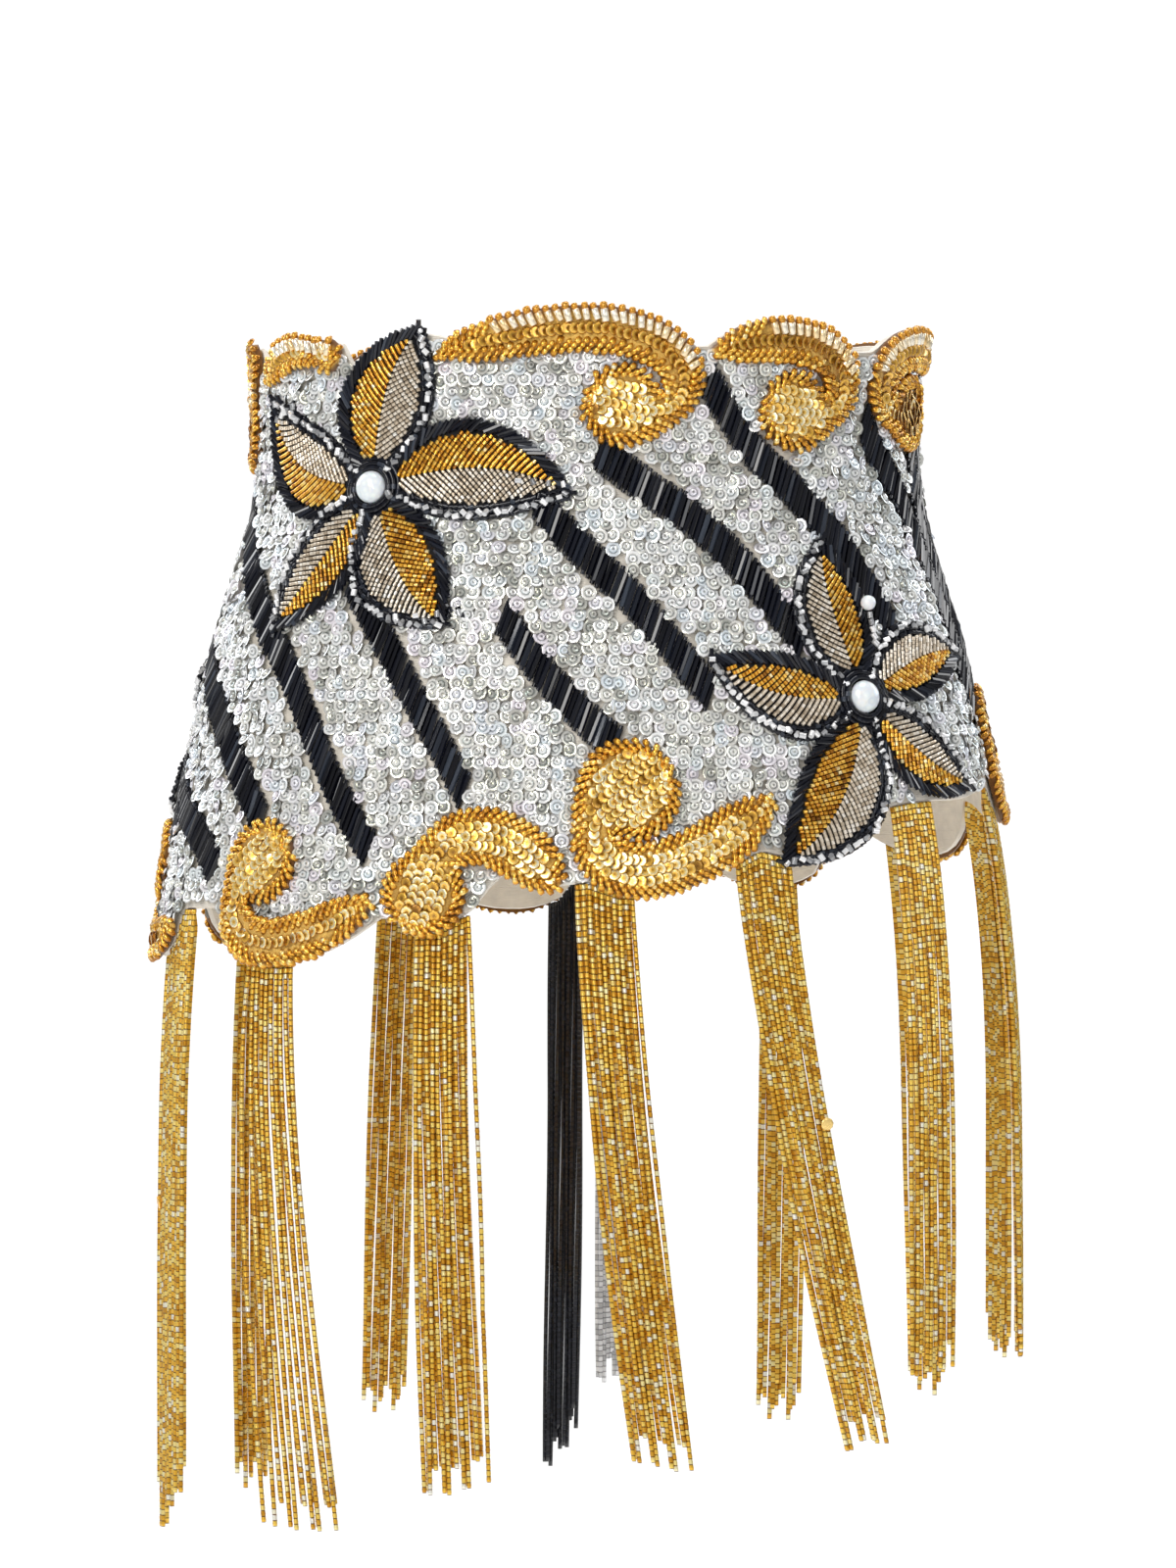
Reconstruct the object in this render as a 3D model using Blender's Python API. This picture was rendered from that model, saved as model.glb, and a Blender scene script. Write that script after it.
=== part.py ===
"""Belly dance hip belt, worn shape: a stiff beaded cloth wall round the waist and hips, edged with raised
scrolls, with flower motifs sewn on it and bundles of beaded fringe under its hem. The front faces -Y and
the origin is the middle of the waistline. Lengths are metres and angles are degrees round the figure,
0 at the centre front and positive towards +X."""

import math

import bpy
import numpy as np

# ---------------------------------------------------------------- driving dimensions
WALL = 0.0025  # ground cloth on its stiff backing
SEAM_GAP = 0.0003  # between two panels, and between a panel and what is sewn to its edge
LAY_GAP = 0.0008  # between a panel's face and a motif that lies on it

# The figure that the belt is cut for: each row is one level of the ground cloth's outer face.
FIGURE_COLUMNS = ("height", "half_width", "half_depth", "back_shift")
FIGURE = (
    (0.060, 0.1330, 0.098, 0.000),
    (0.025, 0.1295, 0.095, 0.000),
    (0.000, 0.1290, 0.094, 0.000),
    (-0.025, 0.1310, 0.096, 0.0005),
    (-0.050, 0.1380, 0.101, 0.002),
    (-0.075, 0.1460, 0.106, 0.004),
    (-0.105, 0.1530, 0.111, 0.006),
    (-0.135, 0.1600, 0.115, 0.008),
    (-0.165, 0.1655, 0.118, 0.009),
    (-0.200, 0.1695, 0.120, 0.010),
    (-0.240, 0.1720, 0.121, 0.010),
    (-0.300, 0.1730, 0.121, 0.010),
    (-0.430, 0.1730, 0.121, 0.010),
)

# The cloth's two edges between the scrolls: (angle, height). The hem dips on the wearer's right hip.
HEM_LINE = (
    (-180, -0.166), (-150, -0.172), (-120, -0.178), (-90, -0.182), (-57, -0.181), (-29, -0.174),
    (-2, -0.163), (20, -0.161), (34, -0.151), (48, -0.1415), (66, -0.139), (80, -0.134),
    (100, -0.138), (125, -0.145), (150, -0.156), (180, -0.166),
)
TOP_LINE = (
    (-180, 0.020), (-90, 0.020), (-60, 0.022), (-28, 0.020), (18, 0.031), (52, 0.033), (80, 0.028),
    (120, 0.022), (180, 0.020),
)
EDGE_INSET = 0.003  # the motifs stand this far past the cloth's edge
EDGE_WINDOW = 1.6  # degrees either side that the edge looks for a motif to follow

PANELS = (  # (name, angle of one seam, angle of the other, columns)
    ("ground_back_right", -180, -90, 21),
    ("ground_front", -90, 90, 46),
    ("ground_back_left", 90, 180, 21),
)
PANEL_ROWS = (0.0, 0.13, 0.25, 0.36, 0.46, 0.54, 0.61, 0.68, 0.75, 0.82, 0.88, 0.94, 1.0)

# Scrolls: a round head, and an arm that bends away from it and ends in a blunt tip.
# (name, angle and height of the head's middle, its radius, the arm's half-width, length, heading, turn)
# A bend is a table of (distance from where the turn starts, share of the turn).
SCROLLS = (
    ("hem_scroll_1", -90.5, -0.1650, 0.0155, 0.0085, 0.068, -145, 176),
    ("hem_scroll_2", -49.0, -0.1650, 0.0168, 0.0096, 0.080, -138, 176),
    ("hem_scroll_3", -21.6, -0.1745, 0.0168, 0.0112, 0.056, 74, -134),
    ("hem_scroll_4", 5.1, -0.1375, 0.0200, 0.0110, 0.089, -142, 186),
    ("hem_scroll_5", 88.0, -0.1120, 0.0160, 0.0090, 0.062, -138, 180),
    ("hem_scroll_6", 119.0, -0.1270, 0.0160, 0.0090, 0.064, -138, 180),
    ("hem_scroll_7", 150.0, -0.1400, 0.0160, 0.0090, 0.064, -138, 180),
    ("hem_scroll_8", -172.0, -0.1500, 0.0160, 0.0090, 0.072, -138, 180),
    ("hem_scroll_9", -131.5, -0.1630, 0.0155, 0.0090, 0.066, -138, 172),
    ("top_scroll_1", -89.0, 0.0060, 0.0155, 0.0085, 0.024, 60, 40),
    ("top_scroll_2", -50.0, 0.0315, 0.0075, 0.0070, 0.036, 165, 70),
    ("top_scroll_3", 6.4, 0.0100, 0.0164, 0.0095, 0.121, -13, 206),
    ("top_scroll_4", 38.0, 0.0090, 0.0160, 0.0090, 0.079, -5, 208),
    ("top_scroll_5", 72.0, 0.0110, 0.0150, 0.0088, 0.078, 192, -216),
    ("top_scroll_6", 117.0, 0.0100, 0.0150, 0.0088, 0.090, 192, -214),
    ("top_scroll_7", 160.5, 0.0100, 0.0130, 0.0080, 0.062, 192, -210),
    ("top_scroll_8", -142.0, 0.0095, 0.0155, 0.0092, 0.104, -6, 210),
)
SCROLL_HEAD = ((0.0, 0.12), (0.15, 0.52), (0.45, 0.84), (1.0, 1.0), (1.4, 0.84))  # distance, half-width
SCROLL_ARM = ((0.0, 0.88), (0.16, 0.95), (0.34, 1.0), (0.54, 1.0), (0.72, 0.96), (0.88, 0.74), (1.0, 0.2))
SCROLL_BEND = ((0.0, 0.0), (0.005, 0.06), (0.019, 0.42), (0.038, 0.76), (0.060, 0.9), (0.110, 1.0))
BEND_START = 1.35  # radii from the head's end to where the axis starts to turn
NECK = 1.8  # radii from the head's end to the start of the arm
SCROLL_ACROSS = (-1.0, -0.68, 0.0, 0.68, 1.0)
SCROLL_RISE = (0.0014, 0.0038, 0.0026, 0.0038, 0.0014)  # a roped ridge along each edge

# Flowers: (name, angle, height of the middle). Petals: (flower, direction, swirl of the tip, length, width).
FLOWERS = (
    ("flower_left", -38.5, -0.0205),
    ("flower_right", 43.0, -0.1010),
    ("flower_side", -116.0, -0.1120),
)
PETALS = (
    ("flower_left", 87, -16, 0.0650, 0.038),
    ("flower_left", 14, -17, 0.0790, 0.038),
    ("flower_left", -66, 13, 0.0670, 0.037),
    ("flower_left", -122, -2, 0.0660, 0.031),
    ("flower_left", 174, -28, 0.0660, 0.034),
    ("flower_right", 106, -11, 0.0610, 0.032),
    ("flower_right", 30, -14, 0.0640, 0.028),
    ("flower_right", -45, 13, 0.0630, 0.029),
    ("flower_right", -108, -17, 0.0775, 0.037),
    ("flower_right", 184, -18, 0.0630, 0.031),
    ("flower_side", 100, -12, 0.0560, 0.031),
    ("flower_side", 32, -12, 0.0540, 0.030),
    ("flower_side", -38, 10, 0.0640, 0.028),
    ("flower_side", -112, -4, 0.0500, 0.028),
    ("flower_side", 172, -14, 0.0540, 0.030),
)
FLOWER_HOLE = 0.0035
FLOWER_CORE = 0.0085
PETAL_SIDE = ((0.14, 0.38), (0.32, 0.84), (0.56, 0.96), (0.80, 0.62))  # (share of length, of half-width)
RIM_STEP = 1.0  # degrees between points of the rim, so that no petal folds over its neighbour
FLOWER_RINGS = (0.0, 0.31, 0.58, 0.82, 1.0)  # from the hole's rim out to the petals' edges
FLOWER_RISE = (0.0024, 0.0028, 0.0032, 0.0030, 0.0014)

CABOCHON_RADIUS = 0.0062
CABOCHON_RISE = 0.0045
CABOCHON_SIDES = 12
CABOCHON_LEVELS = (0.25, 0.65, 0.92)  # shares of a quarter turn, from the rim to the crown

# Fringe: (name, angle, strands, pitch, lean sideways at the tips, width of the tips to the tape's, length)
FRINGES = (
    ("fringe_1", -71.5, 10, 0.0022, -0.002, 1.10, 0.222),
    ("fringe_2", -46.5, 10, 0.0023, 0.018, 1.50, 0.211),
    ("fringe_3", -19.3, 10, 0.0022, 0.006, 1.15, 0.209),
    ("fringe_4", 2.2, 10, 0.0023, 0.021, 1.00, 0.213),
    ("fringe_5", 24.0, 10, 0.0023, 0.039, 0.83, 0.219),
    ("fringe_6", 51.0, 10, 0.0023, -0.001, 1.00, 0.213),
    ("fringe_7", 82.5, 10, 0.0022, 0.010, 0.90, 0.209),
    ("fringe_8", 104.0, 8, 0.0023, 0.003, 1.10, 0.213),
    ("fringe_9", 128.0, 8, 0.0023, -0.004, 1.10, 0.213),
    ("fringe_10", 152.0, 8, 0.0023, 0.002, 1.10, 0.213),
    ("fringe_back_clear", 176.6, 7, 0.0022, -0.001, 1.00, 0.210),
    ("fringe_back_black", -176.9, 7, 0.0022, 0.002, 0.95, 0.228),
    ("fringe_11", -152.0, 8, 0.0023, 0.004, 1.10, 0.213),
    ("fringe_12", -126.0, 8, 0.0023, -0.003, 1.10, 0.213),
    ("fringe_13", -100.0, 8, 0.0023, 0.002, 1.10, 0.213),
)
STRAND_THICK = 0.0016
STRAND_DEPTH = 0.0020  # the fringe tape's inner face, in from the cloth's outer face
TAPE_HEIGHT = 0.003
STRAND_LEVELS = (0.3, 0.65, 1.0)
TIP_UNEVEN = 0.006

# Centre-back fastening: (height below the waist line) of each hook and eye, inside the wall.
HOOK_HEIGHTS = (0.012, -0.026, -0.064, -0.102, -0.140)
HOOK_HALF_LENGTH = 0.009
HOOK_HALF_WIDTH = (0.0034, 0.0034, 0.0016, 0.0034, 0.0034)
HOOK_THICK = 0.0011

SHARP_ANGLE = math.radians(40)  # faces that meet at less are shaded as one round surface
COLOURS = {  # material: (colour, roughness, metallic)
    "ground_cloth": ((0.80, 0.80, 0.79), 0.45, 0.0),
    "gold_beads": ((0.80, 0.52, 0.12), 0.28, 0.7),
    "petal_beads": ((0.42, 0.32, 0.16), 0.35, 0.4),
    "pearl": ((0.90, 0.90, 0.92), 0.15, 0.0),
    "black_beads": ((0.015, 0.016, 0.022), 0.15, 0.0),
    "clear_beads": ((0.78, 0.79, 0.80), 0.15, 0.0),
    "hook_steel": ((0.62, 0.62, 0.64), 0.3, 1.0),
}


# ---------------------------------------------------------------- the figure's surface
def eased(rows, column, at):
    """A smooth curve through one column of a table whose first column rises or falls steadily."""
    table = np.array(sorted(row[:1] + (row[column],) for row in rows), float)
    knots, values = table.T
    at = np.asarray(at, float)
    low = np.clip(np.searchsorted(knots, at) - 1, 0, len(knots) - 2)
    span = knots[low + 1] - knots[low]
    t = np.clip((at - knots[low]) / span, 0, 1)
    slope = np.gradient(values, knots)
    return (
        (2 * t**3 - 3 * t**2 + 1) * values[low]
        + (t**3 - 2 * t**2 + t) * span * slope[low]
        + (3 * t**2 - 2 * t**3) * values[low + 1]
        + (t**3 - t**2) * span * slope[low + 1]
    )


def figure(height):
    """(half width, half depth, back shift) of the cloth's outer face at each height."""
    return [eased(FIGURE, column, height) for column in (1, 2, 3)]


def on_figure(angle, height, out=0.0):
    """Points at these angles and heights, moved out along the surface's normal."""
    angle, height, out = np.broadcast_arrays(
        np.asarray(angle, float), np.asarray(height, float), np.asarray(out, float)
    )
    step = 0.001
    width, depth, shift = figure(height)
    slopes = [(high - low) / (2 * step) for high, low in zip(figure(height + step), figure(height - step))]
    sine, cosine = np.sin(np.radians(angle)), np.cos(np.radians(angle))
    point = np.stack([width * sine, shift - depth * cosine, height], -1)
    normal = np.stack(
        [
            depth * sine,
            -width * cosine,
            width * cosine * (slopes[2] - slopes[1] * cosine) - slopes[0] * depth * sine**2,
        ],
        -1,
    )
    normal /= np.linalg.norm(normal, axis=-1, keepdims=True)
    return point + normal * out[..., None]


ROUND_ANGLES = np.linspace(-260.0, 260.0, 1041)
ROUND_STEP = np.radians(ROUND_ANGLES[1] - ROUND_ANGLES[0])
REFERENCE = figure(-0.08)
ROUND_SPEED = np.hypot(
    REFERENCE[0] * np.cos(np.radians(ROUND_ANGLES)), REFERENCE[1] * np.sin(np.radians(ROUND_ANGLES))
)
ROUND_LENGTH = np.cumsum(ROUND_SPEED) * ROUND_STEP


def beside(angle, height, along):
    """The angle that is reached by going this far round the figure, at this height."""
    width, depth, _ = figure(height)
    girth = (width + depth) / (REFERENCE[0] + REFERENCE[1])
    start = np.interp(angle, ROUND_ANGLES, ROUND_LENGTH)
    return np.interp(start + along / girth, ROUND_LENGTH, ROUND_ANGLES)


# ---------------------------------------------------------------- outlines, and the cloth's edges
def scroll_rows(scroll):
    """(distance along the axis, half-width) down a scroll, from the head's end to the tip."""
    radius, arm, length = scroll[3:6]
    head = [(radius * far, radius * half) for far, half in SCROLL_HEAD]
    return head + [(NECK * radius + length * share, arm * half) for share, half in SCROLL_ARM]


def scroll_grid(scroll, distances, across):
    """(angle, height) of a scroll's points, one row for each distance along its axis."""
    _, angle, height, radius, _, length, heading, turn = scroll
    whole = NECK * radius + length
    middles = (np.arange(400) + 0.5) * whole / 400

    def headings(at):
        return np.radians(heading + turn * eased(SCROLL_BEND, 1, np.asarray(at) - BEND_START * radius))

    knots = np.linspace(0, whole, 401)
    right = np.concatenate([[0], np.cumsum(np.cos(headings(middles)))]) * whole / 400
    up = np.concatenate([[0], np.cumsum(np.sin(headings(middles)))]) * whole / 400
    right -= np.interp(radius, knots, right)
    up -= np.interp(radius, knots, up)
    half = eased(scroll_rows(scroll), 1, distances)
    side = half[:, None] * np.asarray(across, float)
    way = headings(distances)[:, None]
    x = np.interp(distances, knots, right)[:, None] - np.sin(way) * side
    z = height + np.interp(distances, knots, up)[:, None] + np.cos(way) * side
    return beside(angle, z, x), z


def scroll_outline(scroll):
    end = scroll_rows(scroll)[-1][0]
    angle, height = scroll_grid(scroll, np.linspace(0, end, 160), (-1.0, 1.0))
    return angle.ravel(), height.ravel()


def flower_rim(name):
    """(right, up) points round a flower's edge, petal by petal and anticlockwise."""
    petals = sorted(row[1:] for row in PETALS if row[0] == name)
    points = []
    for direction, swirl, length, width in petals:
        side = [(share * length, fraction * width / 2) for share, fraction in PETAL_SIDE]
        rim = [(r, -w) for r, w in side] + [(length, 0.0)] + [(r, w) for r, w in reversed(side)]
        for reach, aside in rim:
            bearing = direction + swirl * (reach / length) ** 2 + math.degrees(math.atan2(aside, reach))
            points.append((bearing, max(math.hypot(reach, aside), FLOWER_CORE)))
    bearing, radius = np.array(points).T
    turns = np.concatenate([bearing - 360, bearing, bearing + 360])
    least = RIM_STEP * np.arange(len(turns))
    ahead = np.maximum.accumulate(turns - least)
    behind = np.minimum.accumulate((turns - least)[::-1])[::-1]
    bearing = np.radians(((ahead + behind) / 2 + least)[len(bearing) : 2 * len(bearing)])
    return np.stack([radius * np.cos(bearing), radius * np.sin(bearing)], 1)


def flower_outline(name, angle, height):
    rim = flower_rim(name)
    between = np.linspace(0, 1, 6)[:, None, None]
    rim = (rim * (1 - between) + np.roll(rim, -1, axis=0) * between).reshape(-1, 2)
    return beside(angle, height + rim[:, 1], rim[:, 0]), height + rim[:, 1]


OUTLINES = [scroll_outline(scroll) for scroll in SCROLLS] + [flower_outline(*flower) for flower in FLOWERS]


def edge(angles, line, sign):
    """The cloth's edge at each angle: its own line, or just inside a motif that reaches past it."""
    angles = np.atleast_1d(np.asarray(angles, float))
    own = sign * eased(line, 1, angles)
    for motif_angles, motif_heights in OUTLINES:
        apart = (motif_angles[None, :] - angles[:, None] + 180) % 360 - 180
        reach = np.where(np.abs(apart) < EDGE_WINDOW, sign * motif_heights[None, :], -1.0).max(axis=1)
        own = np.maximum(own, reach - EDGE_INSET)
    return sign * own


def panel_columns(first, last, count):
    """The angles of a panel's columns; the seams at its two ends take half a gap each."""
    width, depth, _ = figure(0.0)
    half_gap = math.degrees(SEAM_GAP / 2)
    ends = [half_gap / (depth if abs(end) == 90 else width) for end in (first, last)]
    return np.linspace(first + ends[0], last - ends[1], count + 1)


HEM_ANGLES = np.concatenate([panel_columns(*panel[1:]) for panel in PANELS])
HEM_HEIGHTS = edge(HEM_ANGLES, HEM_LINE, -1)


def hem(angles):
    """The height of the cloth's lower edge, which runs straight from one column to the next."""
    return np.interp(angles, HEM_ANGLES, HEM_HEIGHTS)


# ---------------------------------------------------------------- making objects
def finish(name):
    colour, roughness, metallic = COLOURS[name]
    material = bpy.data.materials.get(name) or bpy.data.materials.new(name)
    material.use_nodes = True
    shader = material.node_tree.nodes["Principled BSDF"]
    shader.inputs["Base Color"].default_value = (*colour, 1)
    shader.inputs["Roughness"].default_value = roughness
    shader.inputs["Metallic"].default_value = metallic
    return material


def add_object(name, points, faces, material):
    mesh = bpy.data.meshes.new(name)
    mesh.from_pydata([tuple(map(float, point)) for point in points], [], faces)
    mesh.materials.append(finish(material))
    mesh.shade_smooth()
    mesh.set_sharp_from_angle(angle=SHARP_ANGLE)
    mesh.update()
    piece = bpy.data.objects.new(name, mesh)
    bpy.context.scene.collection.objects.link(piece)
    return piece


def add_shell(name, outer, inner, material, ring=False):
    """A closed wall between two grids of points. Rows run upwards and columns run towards +X. With ring,
    the last column joins the first."""
    rows, columns = outer.shape[:2]
    points = np.concatenate([outer.reshape(-1, 3), inner.reshape(-1, 3)])
    back = rows * columns
    wide = columns if ring else columns - 1

    def at(row, column, side=0):
        return side * back + row * columns + column % columns

    faces = []
    for row in range(rows - 1):
        for column in range(wide):
            a, b, c, d = at(row, column), at(row, column + 1), at(row + 1, column + 1), at(row + 1, column)
            faces.append((a, b, c, d))
            faces.append((d + back, c + back, b + back, a + back))
    for column in range(wide):
        low, high = rows - 1, 0
        faces.append((at(low, column), at(low, column + 1), at(low, column + 1, 1), at(low, column, 1)))
        faces.append((at(high, column + 1), at(high, column), at(high, column, 1), at(high, column + 1, 1)))
    if not ring:
        end = columns - 1
        for row in range(rows - 1):
            faces.append((at(row, end), at(row, end, 1), at(row + 1, end, 1), at(row + 1, end)))
            faces.append((at(row + 1, 0), at(row + 1, 0, 1), at(row, 0, 1), at(row, 0)))
    return add_object(name, points, faces, material)


# ---------------------------------------------------------------- the pieces
def add_panel(name, first, last, count):
    """One cut panel of the ground cloth, between two seams, from the hem up to the top edge."""
    angles = panel_columns(first, last, count)
    share = np.array(PANEL_ROWS)[:, None]
    heights = hem(angles)[None, :] * (1 - share) + edge(angles, TOP_LINE, 1)[None, :] * share
    outer = on_figure(angles[None, :], heights)
    inner = on_figure(angles[None, :], heights, -WALL)
    add_shell(name, outer, inner, "ground_cloth")


def add_scroll(scroll):
    """A raised scroll: a flat back on the cloth, and a roped ridge along each edge of its face."""
    distances = np.array([row[0] for row in scroll_rows(scroll)])
    angle, height = scroll_grid(scroll, distances, SCROLL_ACROSS)
    rise = np.array(SCROLL_RISE)[None, :] * np.ones((len(distances), 1))
    rise[0] = rise[-1] = SCROLL_RISE[0]
    face = on_figure(angle, height, LAY_GAP + rise)
    underside = on_figure(angle, height, LAY_GAP)
    # Rows run along the axis and across runs to its left, so the grid is turned to face outwards.
    add_shell(scroll[0], face[:, ::-1], underside[:, ::-1], "gold_beads")


def add_flower(name, angle, height):
    """A sewn-on flower: a padded star of petals round a small hole under the stone."""
    rim = flower_rim(name)
    hole = rim / np.linalg.norm(rim, axis=1, keepdims=True) * FLOWER_HOLE
    share = np.array(FLOWER_RINGS)[:, None, None]
    spots = hole[None] * (1 - share) + rim[None] * share
    heights = height + spots[..., 1]
    angles = beside(angle, heights, spots[..., 0])
    rise = np.array(FLOWER_RISE)[:, None]
    face = on_figure(angles, heights, LAY_GAP + rise)
    underside = on_figure(angles, heights, LAY_GAP)
    add_shell(name, face[::-1], underside[::-1], "petal_beads", ring=True)


def add_cabochon(name, angle, height):
    """A domed stone, flat behind, on the flower's middle."""
    base = LAY_GAP + FLOWER_RISE[0] + 0.0008
    turns = np.linspace(0, 2 * math.pi, CABOCHON_SIDES, endpoint=False)
    centre = on_figure(angle, height, base)
    normal = on_figure(angle, height, base + 1.0) - centre
    across = np.cross([0, 0, 1], normal)
    across /= np.linalg.norm(across)
    upward = np.cross(normal, across)
    circle = np.cos(turns)[:, None] * across + np.sin(turns)[:, None] * upward
    rings = [centre + CABOCHON_RADIUS * circle]
    for level in CABOCHON_LEVELS:
        lift = CABOCHON_RISE * math.sin(level * math.pi / 2)
        rings.append(centre + normal * lift + CABOCHON_RADIUS * math.cos(level * math.pi / 2) * circle)
    points = [*np.concatenate(rings), centre + normal * CABOCHON_RISE]
    sides, crown = CABOCHON_SIDES, len(points) - 1
    faces = [tuple(range(sides))[::-1]]
    for ring in range(len(rings) - 1):
        for k in range(sides):
            low, high = ring * sides, (ring + 1) * sides
            faces.append((low + k, low + (k + 1) % sides, high + (k + 1) % sides, high + k))
    last = (len(rings) - 1) * sides
    faces += [(last + k, last + (k + 1) % sides, crown) for k in range(sides)]
    add_object(name, points, faces, "pearl")


def strand_tip(number, count):
    """How far down this strand ends, against the bundle's length, so the tips are uneven."""
    return TIP_UNEVEN * math.sin(2.1 * number + 1.3 * count)


def add_fringe(name, angle, count, pitch, lean, tip_width, length, material):
    """A bundle of beaded strands hanging from a short tape, which is sewn under the cloth's edge. A strand
    keeps its section all the way down, so its sides stay flat."""
    middle = (np.arange(count) - (count - 1) / 2) * pitch
    sides = np.stack([middle - STRAND_THICK / 2, middle + STRAND_THICK / 2], 1).ravel()
    level = float(hem(angle))
    angles = beside(angle, level, sides)
    upper = hem(angles) - SEAM_GAP
    lower = np.repeat((upper[::2] + upper[1::2]) / 2, 2) - TAPE_HEIGHT
    outer, inner = -STRAND_DEPTH + STRAND_THICK, -STRAND_DEPTH
    points = [
        *on_figure(angles, upper, outer), *on_figure(angles, upper, inner),
        *on_figure(angles, lower, outer), *on_figure(angles, lower, inner),
    ]
    n = 2 * count
    faces = [(2 * n, 0, n, 3 * n), (n - 1, 3 * n - 1, 4 * n - 1, 2 * n - 1)]
    for k in range(n - 1):
        faces.append((k, 2 * n + k, 2 * n + k + 1, k + 1))
        faces.append((n + k + 1, 3 * n + k + 1, 3 * n + k, n + k))
        faces.append((k, k + 1, n + k + 1, n + k))
        if k % 2:
            faces.append((2 * n + k + 1, 2 * n + k, 3 * n + k, 3 * n + k + 1))
    core = (outer + inner) / 2
    for strand in range(count):
        left, right = 2 * strand, 2 * strand + 1
        ring = [2 * n + left, 2 * n + right, 3 * n + right, 3 * n + left]
        root = np.array([points[corner] for corner in ring])
        start = float(lower[left])
        middle_of_root = on_figure(beside(angle, level, middle[strand]), start, core)
        drop = length + strand_tip(strand, count)
        for share in STRAND_LEVELS:
            deep = drop * share / length
            place = middle[strand] * (1 + (tip_width - 1) * deep) + lean * deep**1.4
            moved = on_figure(beside(angle, level, place), start - drop * share, core) - middle_of_root
            base = len(points)
            points += [*(root + moved)]
            lower_ring = [base, base + 1, base + 2, base + 3]
            for k in range(4):
                turn = (k + 1) % 4
                faces.append((ring[k], lower_ring[k], lower_ring[turn], ring[turn]))
            ring = lower_ring
        faces.append(tuple(ring[::-1]))
    add_object(name, points, faces, material)


def add_hook(name, height):
    """A fastened hook and eye, flat on the inside of the wall and across the centre-back seam."""
    along = np.linspace(-HOOK_HALF_LENGTH, HOOK_HALF_LENGTH, len(HOOK_HALF_WIDTH))
    angles = beside(180.0, height, along)
    heights = height + np.array([-1.0, 1.0])[:, None] * np.array(HOOK_HALF_WIDTH)[None, :]
    outer = on_figure(angles[None, :], heights, -WALL - LAY_GAP)
    inner = on_figure(angles[None, :], heights, -WALL - LAY_GAP - HOOK_THICK)
    add_shell(name, outer, inner, "hook_steel")


def build():
    for old in list(bpy.data.objects):
        bpy.data.objects.remove(old)
    for panel in PANELS:
        add_panel(*panel)
    for scroll in SCROLLS:
        add_scroll(scroll)
    for name, angle, height in FLOWERS:
        add_flower(name, angle, height)
        add_cabochon(name.replace("flower", "stone"), angle, height)
    for fringe in FRINGES:
        colour = fringe[0].rpartition("_")[2]
        add_fringe(*fringe, f"{colour}_beads" if colour in ("black", "clear") else "gold_beads")
    for number, height in enumerate(HOOK_HEIGHTS, 1):
        add_hook(f"hook_and_eye_{number}", height)


build()
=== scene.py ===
"""The looks of a beaded belly dance hip belt in its worn shape: cream cloth sewn over with clear sequins and
black bugle stripes, edged with scrolls in gold beads, with bead flowers and bundles of bead fringe.

Lengths are metres. A place on the belt is an angle round the figure in degrees (0 at the centre front,
positive towards +X) and a height. The front faces -Y."""

import math
from collections import namedtuple

import bpy
import numpy as np
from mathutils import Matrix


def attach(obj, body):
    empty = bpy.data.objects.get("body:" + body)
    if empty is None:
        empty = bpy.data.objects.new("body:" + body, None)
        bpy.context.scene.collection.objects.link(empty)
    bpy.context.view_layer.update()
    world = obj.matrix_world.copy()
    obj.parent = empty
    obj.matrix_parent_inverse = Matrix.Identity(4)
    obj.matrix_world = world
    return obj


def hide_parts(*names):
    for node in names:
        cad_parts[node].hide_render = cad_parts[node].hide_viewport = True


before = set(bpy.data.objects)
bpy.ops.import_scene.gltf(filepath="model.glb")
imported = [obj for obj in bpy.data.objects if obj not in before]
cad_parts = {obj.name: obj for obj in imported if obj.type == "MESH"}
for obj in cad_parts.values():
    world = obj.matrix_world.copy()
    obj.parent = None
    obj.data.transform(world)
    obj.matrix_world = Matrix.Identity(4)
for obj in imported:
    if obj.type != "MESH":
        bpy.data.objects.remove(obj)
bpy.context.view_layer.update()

# ---------------------------------------------------------------- camera
# The belt is seen straight from the front, from far enough off that its sides hardly spread.
VIEW_DISTANCE = 2.5
VIEW_HEIGHT = -0.134
VIEW_TALL = 0.6208  # what the upright picture takes in from top to bottom, at the belt's axis
SENSOR = 36.0

camera_data = bpy.data.cameras.new("front_view")
camera_data.sensor_width = SENSOR
camera_data.lens = SENSOR * VIEW_DISTANCE / VIEW_TALL
camera = bpy.data.objects.new("front_view", camera_data)
camera.location = (0.0, -VIEW_DISTANCE, VIEW_HEIGHT)
camera.rotation_euler = (math.radians(90), 0.0, 0.0)
bpy.context.scene.collection.objects.link(camera)
bpy.context.scene.camera = camera
bpy.context.scene.view_settings.view_transform = "Standard"

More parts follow.
